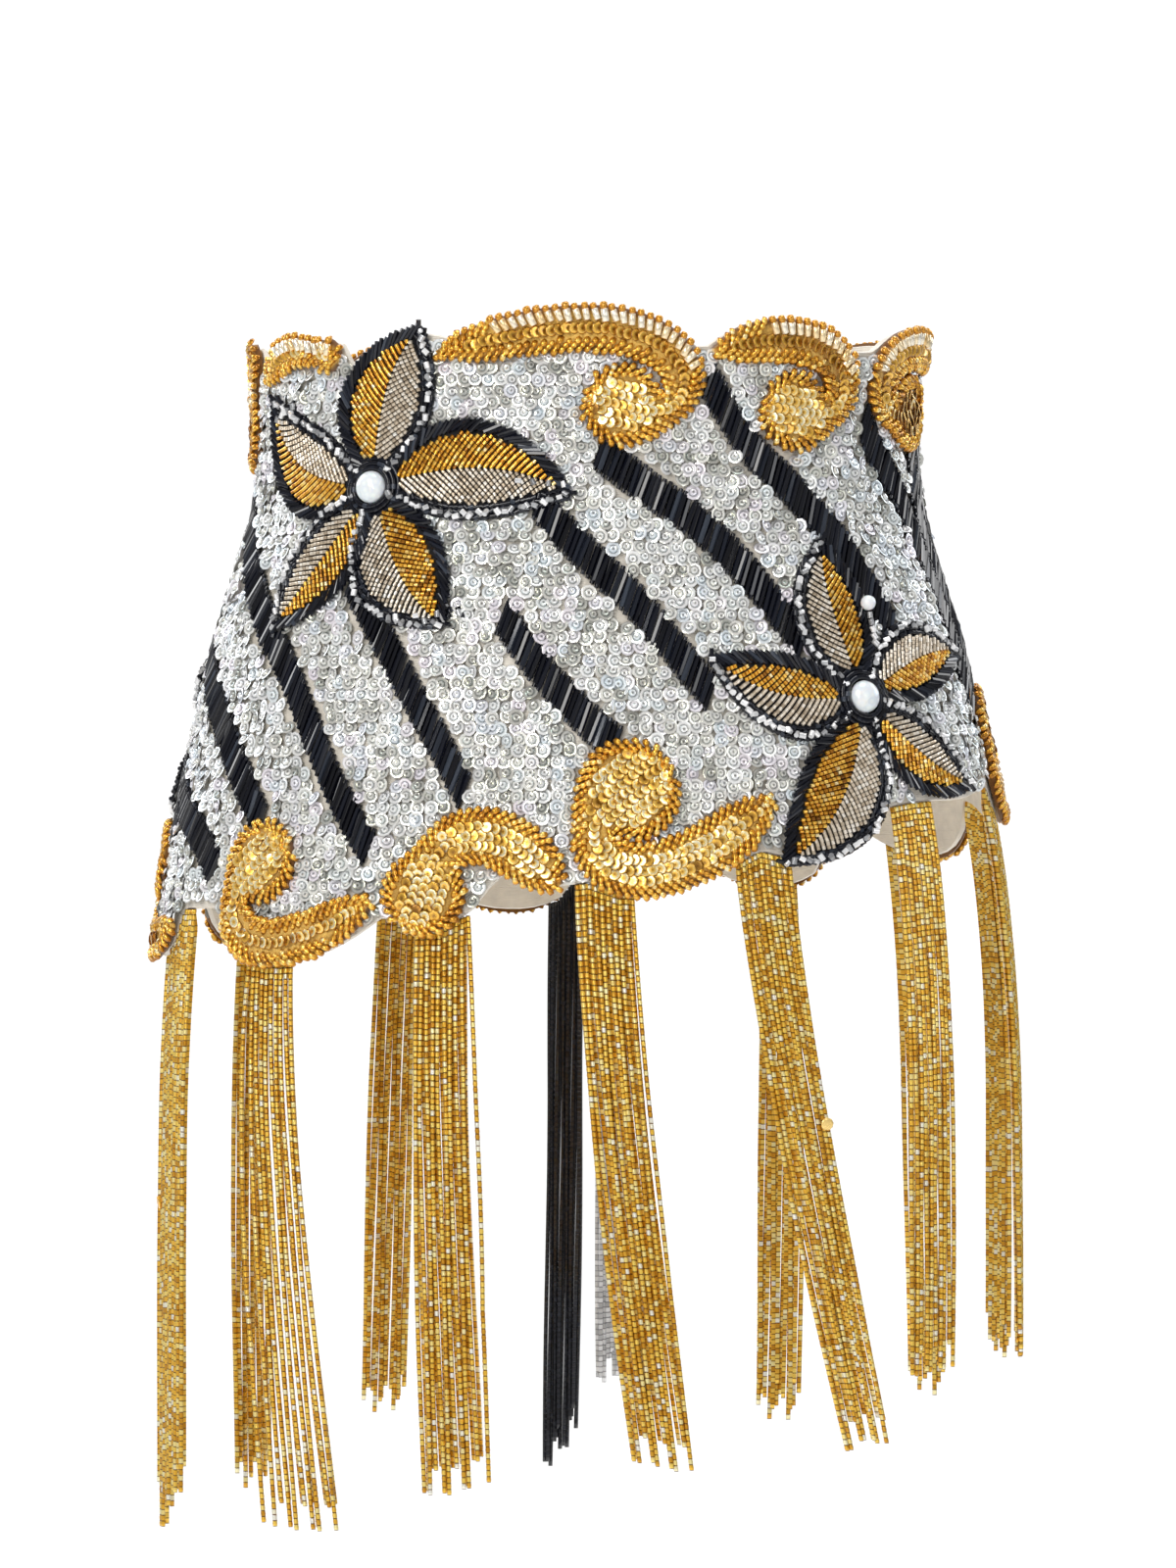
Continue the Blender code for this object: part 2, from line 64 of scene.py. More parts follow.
# ---------------------------------------------------------------- ground cloth
# Three cut panels of cream satin on a stiff canvas backing, seamed at the sides and hooked together at the
# centre back. Their edges follow the motifs that are sewn along them.
WALL = 0.0025
FIGURE = (  # height, half width, half depth, how far back the middle lies
    (0.060, 0.1330, 0.098, 0.000),
    (0.025, 0.1295, 0.095, 0.000),
    (0.000, 0.1290, 0.094, 0.000),
    (-0.025, 0.1310, 0.096, 0.0005),
    (-0.050, 0.1380, 0.101, 0.002),
    (-0.075, 0.1460, 0.106, 0.004),
    (-0.105, 0.1530, 0.111, 0.006),
    (-0.135, 0.1600, 0.115, 0.008),
    (-0.165, 0.1655, 0.118, 0.009),
    (-0.200, 0.1695, 0.120, 0.010),
    (-0.240, 0.1720, 0.121, 0.010),
    (-0.300, 0.1730, 0.121, 0.010),
    (-0.430, 0.1730, 0.121, 0.010),
)
CLOTH_PANELS = ("ground_back_right", "ground_front", "ground_back_left")
CLOTH_STEP = 0.0045  # between the points of the cloth's mesh
CLOTH_ROWS = 44
CLOTH_QUARTER = 0.22  # roughly a quarter of the way round the belt
CLOTH_IN = 0.0004  # the cloth's face lies this far inside its solid's
CLOTH_RIM = 0.0025  # how far the rounded rims stand out, as a share of the cloth's height
CLOTH_CREAM = (0.80, 0.74, 0.64)
CLOTH_PUCKER = 0.0003  # how far the sewing draws the cloth in and out
PUCKER_ROUND = 0.011  # the puckers' size round the belt
PUCKER_UP = 0.009
RIB_SCALE = 0.314 / 0.0009  # the wave texture's scale for ribs 0.9 mm apart


def eased(rows, column, at):
    """A smooth curve through one column of a table: cubic between rows, with the mean slope at each row."""
    knots, values = np.array(sorted(row[:1] + (row[column],) for row in rows), float).T
    at = np.asarray(at, float)
    low = np.clip(np.searchsorted(knots, at) - 1, 0, len(knots) - 2)
    span = knots[low + 1] - knots[low]
    t = np.clip((at - knots[low]) / span, 0, 1)
    slope = np.gradient(values, knots)
    return (
        (2 * t**3 - 3 * t**2 + 1) * values[low]
        + (t**3 - 2 * t**2 + t) * span * slope[low]
        + (3 * t**2 - 2 * t**3) * values[low + 1]
        + (t**3 - t**2) * span * slope[low + 1]
    )


def figure(height):
    """Half width, half depth and back shift of the cloth's outer face, read from the table at each height."""
    return [eased(FIGURE, column, height) for column in (1, 2, 3)]


def facing(angle, height):
    """The unit directions to the right, up and outwards on the figure, which is an ellipse at each height."""
    angle, height = np.broadcast_arrays(np.asarray(angle, float), np.asarray(height, float))
    step = 0.001
    width, depth, _ = figure(height)
    slopes = [(high - low) / (2 * step) for high, low in zip(figure(height + step), figure(height - step))]
    sine, cosine = np.sin(np.radians(angle)), np.cos(np.radians(angle))
    lean = width * cosine * (slopes[2] - slopes[1] * cosine) - slopes[0] * depth * sine**2
    outward = np.stack([depth * sine, -width * cosine, lean], -1)
    outward /= np.linalg.norm(outward, axis=-1, keepdims=True)
    right = np.stack([width * cosine, depth * sine, 0 * lean], -1)
    right /= np.linalg.norm(right, axis=-1, keepdims=True)
    return right, np.cross(outward, right), outward


def on_figure(angle, height, out=0.0):
    """Points at these angles and heights of the ellipse rings, moved out along the surface's normal."""
    angle, height, out = np.broadcast_arrays(
        np.asarray(angle, float), np.asarray(height, float), np.asarray(out, float)
    )
    width, depth, shift = figure(height)
    turn = np.radians(angle)
    point = np.stack([width * np.sin(turn), shift - depth * np.cos(turn), height], -1)
    return point + facing(angle, height)[2] * out[..., None]


REFERENCE = figure(-0.08)
ROUND_ANGLES = np.linspace(-260.0, 260.0, 1041)
ROUND_SPEED = np.hypot(
    REFERENCE[0] * np.cos(np.radians(ROUND_ANGLES)), REFERENCE[1] * np.sin(np.radians(ROUND_ANGLES))
)
ROUND_LENGTH = np.cumsum(ROUND_SPEED) * np.radians(ROUND_ANGLES[1] - ROUND_ANGLES[0])


def way_round(angle):
    """How far round the figure an angle is, at the reference height: the sum of the ellipse's short arcs."""
    return np.interp(angle, ROUND_ANGLES, ROUND_LENGTH)


def girth(height):
    """The figure's size round at a height, against its size at the reference height."""
    width, depth, _ = figure(height)
    return (width + depth) / (REFERENCE[0] + REFERENCE[1])


def make_piece(name, points, faces, material, slot, marks=None, chart=None, sharp=75.0):
    """A mesh object from its points and arrays of faces, with values or a chart place for each point."""
    mesh = bpy.data.meshes.new(name)
    corners = np.concatenate([block.ravel() for block in faces]).astype(np.int32)
    sizes = np.concatenate([np.full(len(block), block.shape[1]) for block in faces])
    mesh.vertices.add(len(points))
    mesh.vertices.foreach_set("co", np.asarray(points, np.float32).ravel())
    mesh.loops.add(len(corners))
    mesh.loops.foreach_set("vertex_index", corners)
    mesh.polygons.add(len(sizes))
    mesh.polygons.foreach_set("loop_start", (np.cumsum(sizes) - sizes).astype(np.int32))
    mesh.update(calc_edges=True)
    for label, values in (marks or {}).items():
        mark = mesh.attributes.new(label, "FLOAT", "POINT")
        mark.data.foreach_set("value", np.asarray(values, np.float32).ravel())
    if chart is not None:
        layer = mesh.uv_layers.new(name="chart")
        layer.data.foreach_set("uv", np.asarray(chart, np.float32)[corners].ravel())
    mesh.shade_smooth()
    mesh.set_sharp_from_angle(angle=math.radians(sharp))
    mesh.materials.append(material)
    piece = bpy.data.objects.new(name, mesh)
    bpy.context.scene.collection.objects.link(piece)
    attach(piece, "root")
    return piece


def new_material(name, **settings):
    """A material with a Principled shader, a helper that adds a node and gives one of its outputs, and a
    helper that sets or links the shader's sockets by name."""
    material = bpy.data.materials.new(name)
    material.use_nodes = True
    tree = material.node_tree

    def fill(sockets, values):
        for socket, value in values.items():
            if isinstance(value, bpy.types.NodeSocket):
                tree.links.new(value, sockets[socket])
            else:
                sockets[socket].default_value = value

    def node(kind, output, values=(), **properties):
        made = tree.nodes.new("ShaderNode" + kind)
        for key, value in properties.items():
            setattr(made, key, value)
        fill(made.inputs, dict(values))
        return made.outputs[output]

    def set_shader(**values):
        fill(tree.nodes["Principled BSDF"].inputs, {key.replace("_", " "): values[key] for key in values})

    set_shader(**settings)
    return material, node, set_shader


def ramp(node, place, stops):
    """A colour ramp with its stops at (place, colour)."""
    output = node("ValToRGB", "Color", {"Fac": place})
    elements = output.node.color_ramp.elements
    elements.remove(elements[1])
    for number, (at, colour) in enumerate(stops):
        stop = elements.new(at) if number else elements[0]
        stop.position = at
        stop.color = (*colour, 1)
    return output


def cloth_satin():
    """Cream satin: fine ribs across, faint slubs that vary its tone a little, and a soft sheen."""
    material, node, set_shader = new_material("cream_satin", Roughness=0.42, Sheen_Weight=0.35)
    chart = node("UVMap", "UV", uv_map="chart")
    waves = {"Vector": chart, "Scale": RIB_SCALE, "Distortion": 1.2, "Detail": 2.0}
    ribs = node("TexWave", "Fac", waves, bands_direction="Y")
    slubs = node("TexNoise", "Fac", {"Vector": chart, "Scale": 140.0, "Detail": 4.0})
    deep, pale = (tuple(min(1, part * share) for part in CLOTH_CREAM) for share in (0.86, 1.08))
    tone = ramp(node, slubs, ((0.3, deep), (0.7, pale)))
    relief = node("Math", "Value", {0: ribs, 1: slubs}, operation="ADD")
    bump = node("Bump", "Normal", {"Strength": 0.35, "Distance": 0.0002, "Height": relief})
    set_shader(Base_Color=tone, Normal=bump)
    return material


def cut_edges(name):
    """The angle, hem height and top height of each column of a panel, read from the frame's own panel."""
    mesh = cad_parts[name].data
    places = np.empty(len(mesh.vertices) * 3)
    mesh.vertices.foreach_get("co", places)
    x, y, z = places.reshape(-1, 3).T
    width, depth, shift = figure(z)
    outer = np.hypot(x / width, (y - shift) / depth) > 1 - WALL / 2 / width
    angles = np.degrees(np.arctan2(x / width, (shift - y) / depth)).round(1)[outer]
    angles = np.where(angles * name.count("right") > 90, angles - 360, angles)
    columns, which = np.unique(angles, return_inverse=True)
    hems, tops = np.full(len(columns), 1.0), np.full(len(columns), -1.0)
    np.minimum.at(hems, which, z[outer])
    np.maximum.at(tops, which, z[outer])
    return columns, hems, tops


def panel_section():
    """Share of the height and depth in the wall round a panel's section: up the face, over, down inside."""
    share = np.linspace(0, 1, CLOTH_ROWS)
    top, hem_rim = [[1 + CLOTH_RIM]], [[-CLOTH_RIM]]
    shares = np.concatenate([share[:, None], top, share[::-1, None], hem_rim])
    depths = np.repeat([0.0, -WALL / 2, -WALL, -WALL / 2], [CLOTH_ROWS, 1, CLOTH_ROWS, 1])[:, None]
    return shares, depths


def panel_shell(angles, low, high):
    """A panel's closed wall. Each column of angles carries the section between its low and high edges,
    puckered by the product of two sines, and its two ends are closed. The chart is the cloth laid flat."""
    share, deep = panel_section()
    heights = low + (high - low) * share
    along = (way_round(angles) - way_round(angles).mean()) * girth(heights)
    pucker = CLOTH_PUCKER * np.sin(along / PUCKER_ROUND) * np.sin(heights / PUCKER_UP)
    points = on_figure(angles, heights, deep - CLOTH_IN + pucker)
    rings, wide = heights.shape
    ring, column = np.meshgrid(np.arange(rings), np.arange(wide - 1), indexing="ij")
    here, after = ring * wide + column, (ring + 1) % rings * wide + column
    faces = [np.stack([here, here + 1, after + 1, after], -1).reshape(-1, 4)]
    step = np.arange(CLOTH_ROWS - 1)
    behind = 2 * CLOTH_ROWS - step
    for end, order in ((0, -1), (wide - 1, 1)):
        quads = np.stack([step, behind, behind - 1, step + 1], 1) * wide + end
        lips = np.array([[0, rings - 1, rings - 2], [CLOTH_ROWS - 1, CLOTH_ROWS + 1, CLOTH_ROWS]])
        lips = lips * wide + end
        faces += [quads[:, ::order], lips[:, ::order]]
    return points.reshape(-1, 3), faces, np.stack([along, heights], -1).reshape(-1, 2)


satin = cloth_satin()
panel_cuts = [cut_edges(panel) for panel in CLOTH_PANELS]
for panel, (columns, hems, tops) in zip(CLOTH_PANELS, panel_cuts):
    count = int((columns[-1] - columns[0]) / 90 * CLOTH_QUARTER / CLOTH_STEP)
    angles = np.linspace(columns[0], columns[-1], count)
    low, high = np.interp(angles, columns, hems), np.interp(angles, columns, tops)
    points, faces, chart = panel_shell(angles, low, high)
    name = panel.replace("ground", "cloth")
    cloth = make_piece(name, points, faces, satin, "ground_cloth", chart=chart, sharp=40.0)
    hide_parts(panel)
    spans = np.diff(way_round(angles)) * girth((low + high) / 2)[1:]
    cut = (float(np.ptp(chart[:, 0])), float(high.max() - low.min()))
cut_angles, cut_hems, cut_tops = np.concatenate(panel_cuts, axis=1)

# ---------------------------------------------------------------- scrolls
# Each scroll is a padded felt shape sewn along the cloth's edge. Its middle is filled with overlapping gold
# sequins, and a rope of short slanting rows of gold beads is couched over a cord along its whole edge.
Scroll = namedtuple("Scroll", "name angle height radius arm length heading turn")
SCROLLS = [  # the head's middle and radius, the arm's half-width and length, its first heading and its turn
    Scroll(*row) for row in (
        ("hem_scroll_1", -90.5, -0.1650, 0.0155, 0.0085, 0.068, -145, 176),
        ("hem_scroll_2", -49.0, -0.1650, 0.0168, 0.0096, 0.080, -138, 176),
        ("hem_scroll_3", -21.6, -0.1745, 0.0168, 0.0112, 0.056, 74, -134),
        ("hem_scroll_4", 5.1, -0.1375, 0.0200, 0.0110, 0.089, -142, 186),
        ("hem_scroll_5", 88.0, -0.1120, 0.0160, 0.0090, 0.062, -138, 180),
        ("hem_scroll_6", 119.0, -0.1270, 0.0160, 0.0090, 0.064, -138, 180),
        ("hem_scroll_7", 150.0, -0.1400, 0.0160, 0.0090, 0.064, -138, 180),
        ("hem_scroll_8", -172.0, -0.1500, 0.0160, 0.0090, 0.072, -138, 180),
        ("hem_scroll_9", -131.5, -0.1630, 0.0155, 0.0090, 0.066, -138, 172),
        ("top_scroll_1", -89.0, 0.0060, 0.0155, 0.0085, 0.024, 60, 40),
        ("top_scroll_2", -50.0, 0.0315, 0.0075, 0.0070, 0.036, 165, 70),
        ("top_scroll_3", 6.4, 0.0100, 0.0164, 0.0095, 0.121, -13, 206),
        ("top_scroll_4", 38.0, 0.0090, 0.0160, 0.0090, 0.079, -5, 208),
        ("top_scroll_5", 72.0, 0.0110, 0.0150, 0.0088, 0.078, 192, -216),
        ("top_scroll_6", 117.0, 0.0100, 0.0150, 0.0088, 0.090, 192, -214),
        ("top_scroll_7", 160.5, 0.0100, 0.0130, 0.0080, 0.062, 192, -210),
        ("top_scroll_8", -142.0, 0.0095, 0.0155, 0.0092, 0.104, -6, 210),
    )
]
SCROLL_HEAD = ((0.0, 0.12), (0.15, 0.52), (0.45, 0.84), (1.0, 1.0), (1.4, 0.84))  # distance, half-width
SCROLL_ARM = ((0.0, 0.88), (0.16, 0.95), (0.34, 1.0), (0.54, 1.0), (0.72, 0.96), (0.88, 0.74), (1.0, 0.2))
SCROLL_BEND = ((0.0, 0.0), (0.005, 0.06), (0.019, 0.42), (0.038, 0.76), (0.060, 0.9), (0.110, 1.0))
BEND_START = 1.35  # radii from the head's end to where the axis starts to turn
NECK = 1.8  # radii from the head's end to the start of the arm
AXIS_STEPS = 400
LAY_GAP = 0.0008  # a motif's back stands this far off the cloth
PAD_ACROSS = (  # share of the half-width, rise
    (-1.0, 0.0008), (-0.9, 0.0020), (-0.7, 0.0031), (-0.35, 0.0024), (0.0, 0.0021), (0.35, 0.0024),
    (0.7, 0.0031), (0.9, 0.0020), (1.0, 0.0008),
)
PAD_ROWS = 34
PAD_INSET = 0.0008  # the felt stops this far inside the scroll's edge
ROPE_INSET = 0.0031  # from the scroll's edge in to the middle of the rope
ROPE_PITCH = 0.0032
ROPE_SLANT = 50  # degrees between the rope's way and its slanting rows, which turns over in the crook
ROPE_SIZE = (0.0083, 0.0026, 0.0026)  # length and thickness of one slanting row
ROPE_DROP = 0.0016  # how much lower a row's ends lie than its middle
ROPE_OUT = 0.0042
PICKET_SIZE = (0.0076, 0.0031, 0.0031)  # the upright bugles along the top arches
PICKET_PITCH = 0.0035
PICKET_DROP = 0.0008
PICKET_OUT = ROPE_OUT + 0.0007
PICKET_LEAN = 74  # degrees between the edge and its bugles
PICKET_FROM = 0.30  # the least cosine of the edge's heading, where its bugles stand upright
PICKET_ABOVE = 0.45  # head radii above the head's middle, from which they start
SEQUIN_GOLD_WIDE = 0.0051
SEQUIN_GOLD_ROWS = 0.0036  # between rows of sequins
SEQUIN_GOLD_STEP = 0.0029  # between sequins of a row, which overlap like scales
SEQUIN_GOLD_OUT = LAY_GAP + 0.0034
SEQUIN_GOLD_TILT = 15
ARCH_TILT = 28  # on the arms of the top scrolls, whose sequins stand nearly on edge and are given a low tone: painted shade
dice = np.random.default_rng(20)


def beside(angle, height, along):
    """The angle that is reached by going this far round the figure, at this height."""
    return np.interp(way_round(angle) + along / girth(height), ROUND_LENGTH, ROUND_ANGLES)


def turned(profile, sides):
    """A solid turned about x from rows of distance along, radius and, where they are given, shade: a factor
    on the tone that is painted shade on bead rows and sequins, and the amber head on the pickets. Its first
    and last rows lie on the axis. Gives its points, its faces and that factor for each point."""
    along, radius, *shades = np.array(profile, float).T
    shade = shades[0] if shades else np.ones(len(along))
    turn = (np.arange(sides) + 0.5) * 2 * np.pi / sides
    across, up = np.outer(radius[1:-1], np.cos(turn)), np.outer(radius[1:-1], np.sin(turn))
    body = np.stack([np.repeat(along[1:-1], sides), across.ravel(), up.ravel()], 1)
    points = np.concatenate([[[along[0], 0, 0]], body, [[along[-1], 0, 0]]])
    here = 1 + np.arange((len(along) - 3) * sides).reshape(-1, sides)
    there = np.roll(here, -1, axis=1)
    bands = np.stack([here, there, there + sides, here + sides], -1).reshape(-1, 4)
    first = 1 + np.arange(sides)
    last = first + here.size
    caps = [
        np.stack([0 * first, np.roll(first, -1), first], 1),
        np.stack([0 * last + len(points) - 1, last, np.roll(last, -1)], 1),
    ]
    shade = np.concatenate([shade[:1], np.repeat(shade[1:-1], sides), shade[-1:]])
    return points, [bands, np.concatenate(caps)], shade


def copies(shape, centres, axes, sizes=1.0):
    """Copies of one small shape, each with its own centre, its own three axes and its own size along them."""
    points, faces = shape[:2]
    sizes = np.broadcast_to(sizes, (len(centres), 3))
    placed = centres[:, None, :] + np.einsum("vk,nk,nkc->nvc", points, sizes, axes)
    shift = np.arange(len(centres))[:, None, None] * len(points)
    return placed.reshape(-1, 3), [(block[None] + shift).reshape(-1, block.shape[1]) for block in faces]


def strew(heap, shape, centres, axes, sizes, tones):
    """Put copies of a small shape on a heap, each with its own tone, times the shape's factor at each point,
    which is mostly painted shade.
    """
    heap.append((copies(shape, centres, axes, sizes), np.outer(tones, shape[2]).ravel()))


def joined(parts):
    """Several (points, faces) shapes as one."""
    starts = np.cumsum([0] + [len(part[0]) for part in parts])[:-1]
    blocks = {}
    for part, start in zip(parts, starts):
        for block in part[1]:
            blocks.setdefault(block.shape[1], []).append(block + start)
    return np.concatenate([part[0] for part in parts]), [np.concatenate(group) for group in blocks.values()]


def sewn(name, heap, material, slot, **more):
    """One piece from a heap of shapes and their tones."""
    shapes, tones = zip(*heap)
    return make_piece(name, *joined(shapes), material, slot, {"tone": np.concatenate(tones)}, **more)


def laid(angle, height, heading, tilt=0.0, roll=0.0):
    """Axes of small things on the figure: x along the heading, tilted up at its far end, z outwards."""
    right, upward, outward = facing(angle, height)
    heading, tilt, roll = (
        np.radians(np.broadcast_to(value, np.shape(angle)))[:, None] for value in (heading, tilt, roll)
    )
    ahead = right * np.cos(heading) + upward * np.sin(heading)
    aside = np.cross(outward, ahead)
    x = ahead * np.cos(tilt) + outward * np.sin(tilt)
    z = outward * np.cos(tilt) - ahead * np.sin(tilt)
    return np.stack([x, aside * np.cos(roll) + z * np.sin(roll), z * np.cos(roll) - aside * np.sin(roll)], 1)


def flat_on(angle, height, heading, tilt=0.0, roll=0.0):
    """Axes of discs and domes, whose x is their own axis and points outwards."""
    return laid(angle, height, heading, tilt, roll)[:, (2, 0, 1)]


def scroll_rows(scroll):
    """(distance along the axis, half-width) down a scroll, from the head's end to the tip."""
    head = [(scroll.radius * far, scroll.radius * half) for far, half in SCROLL_HEAD]
    start = NECK * scroll.radius
    return head + [(start + scroll.length * share, scroll.arm * half) for share, half in SCROLL_ARM]


def scroll_half(scroll, distances):
    """Half the scroll's width at these distances along its axis."""
    return eased(scroll_rows(scroll), 1, distances)


def scroll_whole(scroll):
    """The length of a scroll's axis, head and arm together."""
    return NECK * scroll.radius + scroll.length


def scroll_place(scroll, distances, sides):
    """Angle, height and heading of points at these distances along the axis and these metres to its left.
    The axis is the sum of short steps whose heading follows the bend table."""
    whole = scroll_whole(scroll)

    def headings(at):
        bend = eased(SCROLL_BEND, 1, np.asarray(at) - BEND_START * scroll.radius)
        return np.radians(scroll.heading + scroll.turn * bend)

    knots = np.linspace(0, whole, AXIS_STEPS + 1)
    way = headings((np.arange(AXIS_STEPS) + 0.5) * whole / AXIS_STEPS)
    right, up = (
        np.concatenate([[0], np.cumsum(run)]) * whole / AXIS_STEPS for run in (np.cos(way), np.sin(way))
    )
    right -= np.interp(scroll.radius, knots, right)
    up -= np.interp(scroll.radius, knots, up)
    way = headings(distances)
    x = np.interp(distances, knots, right) - np.sin(way) * sides
    z = scroll.height + np.interp(distances, knots, up) + np.cos(way) * sides
    return beside(scroll.angle, z, x), z, np.degrees(way)


def scroll_loop(scroll, inset):
    """Angle and height of a closed line round the scroll, this far inside its edge, with even steps."""
    distances = np.linspace(inset * 0.8, scroll_whole(scroll) - inset * 0.6, 240)
    half = np.maximum(scroll_half(scroll, distances) - inset, 0.0004)
    left = scroll_place(scroll, distances, half)[:2]
    right = scroll_place(scroll, distances[::-1], -half[::-1])[:2]
    return np.concatenate([left[0], right[0]]), np.concatenate([left[1], right[1]])


def paced(angles, heights, pitch, closed=True):
    """Points at even steps of about this pitch along a line on the figure, with the heading at each."""
    if closed:
        angles, heights = np.append(angles, angles[0]), np.append(heights, heights[0])
    points = on_figure(angles, heights)
    length = np.concatenate([[0], np.cumsum(np.linalg.norm(np.diff(points, axis=0), axis=1))])
    count = max(2, int(round(length[-1] / pitch)))
    at = (np.arange(count) + 0.5) * length[-1] / count
    angle, height = np.interp(at, length, angles), np.interp(at, length, heights)
    reach = 0.0012
    ahead = [np.interp(np.minimum(at + reach, length[-1]), length, v) for v in (angles, heights)]
    behind = [np.interp(np.maximum(at - reach, 0), length, v) for v in (angles, heights)]
    step = on_figure(*ahead) - on_figure(*behind)
    right, upward, _ = facing(angle, height)
    return angle, height, np.degrees(np.arctan2((step * upward).sum(1), (step * right).sum(1)))


def bent(shape, drop):
    """The shape with its ends bent down by this much, as over a cord: z falls with the square of x."""
    points, faces, shade = shape
    x = points[:, 0]
    lower = np.stack([0 * x, 0 * x, -drop * (x / np.abs(x).max()) ** 2], 1)
    return points + lower, faces, shade


def padding(rise, angle, height):
    """A closed pad: its face raised over a grid of places, its back flat on the cloth, and its rim joined."""
    face, back = on_figure(angle, height, LAY_GAP + rise), on_figure(angle, height, LAY_GAP)
    rows, wide = angle.shape
    size = rows * wide
    row, column = np.meshgrid(np.arange(rows - 1), np.arange(wide - 1), indexing="ij")
    here = row * wide + column
    grid = np.stack([here, here + wide, here + wide + 1, here + 1], -1).reshape(-1, 4)
    ring = np.concatenate([
        np.arange(wide - 1),
        np.arange(rows - 1) * wide + wide - 1,
        size - 1 - np.arange(wide - 1),
        (rows - 1 - np.arange(rows - 1)) * wide,
    ])
    after = np.roll(ring, -1)
    rim = np.stack([ring, after, after + size, ring + size], 1)
    return np.concatenate([face.reshape(-1, 3), back.reshape(-1, 3)]), [grid, grid[:, ::-1] + size, rim]


def scroll_pad(scroll):
    """A scroll's felt, which rises towards its sides, and its painted shade, dark under the rope, carried as
    its tone.
    """
    distances = np.linspace(PAD_INSET, scroll_whole(scroll) - PAD_INSET, PAD_ROWS)[:, None]
    across, rise = np.array(PAD_ACROSS).T
    half = np.maximum(scroll_half(scroll, distances) - PAD_INSET, 0.0005)
    angle, height, _ = scroll_place(scroll, distances, half * across)
    # Painted shade: the felt's tone falls to nought at its sides, under the rope.
    lit = np.broadcast_to(np.clip(2.2 - 2.6 * np.abs(across), 0, 1), angle.shape)
    return padding(np.broadcast_to(rise, angle.shape), angle, height), np.tile(lit.ravel(), 2)


def edge_line(scroll, pitch, want_upright):
    """Angle, height, heading and crook along the outer side of a top arch, or along the rest of the edge."""
    angle, height, heading = paced(*scroll_loop(scroll, ROPE_INSET), pitch)
    along = (np.arange(len(angle)) + 0.5) / len(angle)
    crook = (along < 0.5) == (scroll.turn > 0)
    upright = ~crook & (np.abs(np.cos(np.radians(heading))) > PICKET_FROM) & scroll.name.startswith("top")
    upright &= height > scroll.height + scroll.radius * PICKET_ABOVE
    return [values[upright == want_upright] for values in (angle, height, heading, crook)]


def couch(heap, bead, size, drop, out, angle, height, heading):
    """Sew bead rows down, bent over the cord and each a little uneven in place, lie, size and tone."""
    number = len(angle)
    row = bent((bead[0] * size, *bead[1:]), drop)
    spots = on_figure(angle, height, out + dice.normal(0, 0.00015, number))
    axes = laid(angle, height, heading + dice.normal(0, 5, number), tilt=dice.normal(0, 5, number))
    sizes = 1 + dice.normal(0, 0.05, (number, 1))
    strew(heap, row, spots, axes, sizes, 0.25 + 0.75 * dice.beta(2.2, 2.0, number))


def scroll_rope(scroll, ropes, pickets):
    """The slanting bead rows round a scroll, and the upright bugles on the outer side of a top arch."""
    angle, height, heading, crook = edge_line(scroll, ROPE_PITCH, False)
    heading = heading + ROPE_SLANT * np.where(crook, 1, -1) * np.sign(scroll.turn)
    couch(ropes, gold_bead_row, ROPE_SIZE, ROPE_DROP, ROPE_OUT, angle, height, heading)
    angle, height, heading, _ = edge_line(scroll, PICKET_PITCH, True)
    heading = heading + np.where(np.cos(np.radians(heading)) > 0, 180 - PICKET_LEAN, -PICKET_LEAN)
    couch(pickets, picket, PICKET_SIZE, PICKET_DROP, PICKET_OUT, angle, height, heading)


def scroll_sequins(scroll, scales):
    """Lanes of overlapping sequins down the scroll's middle, every second lane half a step on."""
    for number, lane in enumerate(np.arange(-4, 5) * SEQUIN_GOLD_ROWS):
        at = np.arange(0.003, scroll_whole(scroll) - 0.002, SEQUIN_GOLD_STEP)
        at = at + number % 2 * SEQUIN_GOLD_STEP / 2
        at = at[np.abs(lane) < scroll_half(scroll, at) - 2 * ROPE_INSET - 0.0002]
        many = len(at)
        angle, height, heading = scroll_place(scroll, at, lane + dice.normal(0, 0.0002, many))
        spots = on_figure(angle, height, SEQUIN_GOLD_OUT + dice.normal(0, 0.00012, many))
        edge_on = scroll.name.startswith("top") & (at > NECK * scroll.radius + 0.012)
        tilt = np.where(edge_on, ARCH_TILT, SEQUIN_GOLD_TILT) + dice.normal(0, 8, many)
        axes = flat_on(angle, height, heading, tilt=tilt, roll=dice.normal(0, 9, many))
        # Painted shade: the sequins that stand on edge on the arches get a low, dark tone.
        bright = np.where(edge_on, dice.uniform(0.18, 0.42, many), dice.beta(2.6, 1.2, many))
        strew(scales, flat_sequin, spots, axes, SEQUIN_GOLD_WIDE, bright)


def glass_beads(name, stops, **settings):
    """Glass beads whose colour follows each bead's own tone, from the dark lines between them, which are
    painted shade, to the palest stops, which are painted glints.
    """
    material, node, set_shader = new_material(name, **settings)
    set_shader(Base_Color=ramp(node, node("Attribute", "Fac", attribute_name="tone"), stops))
    return material


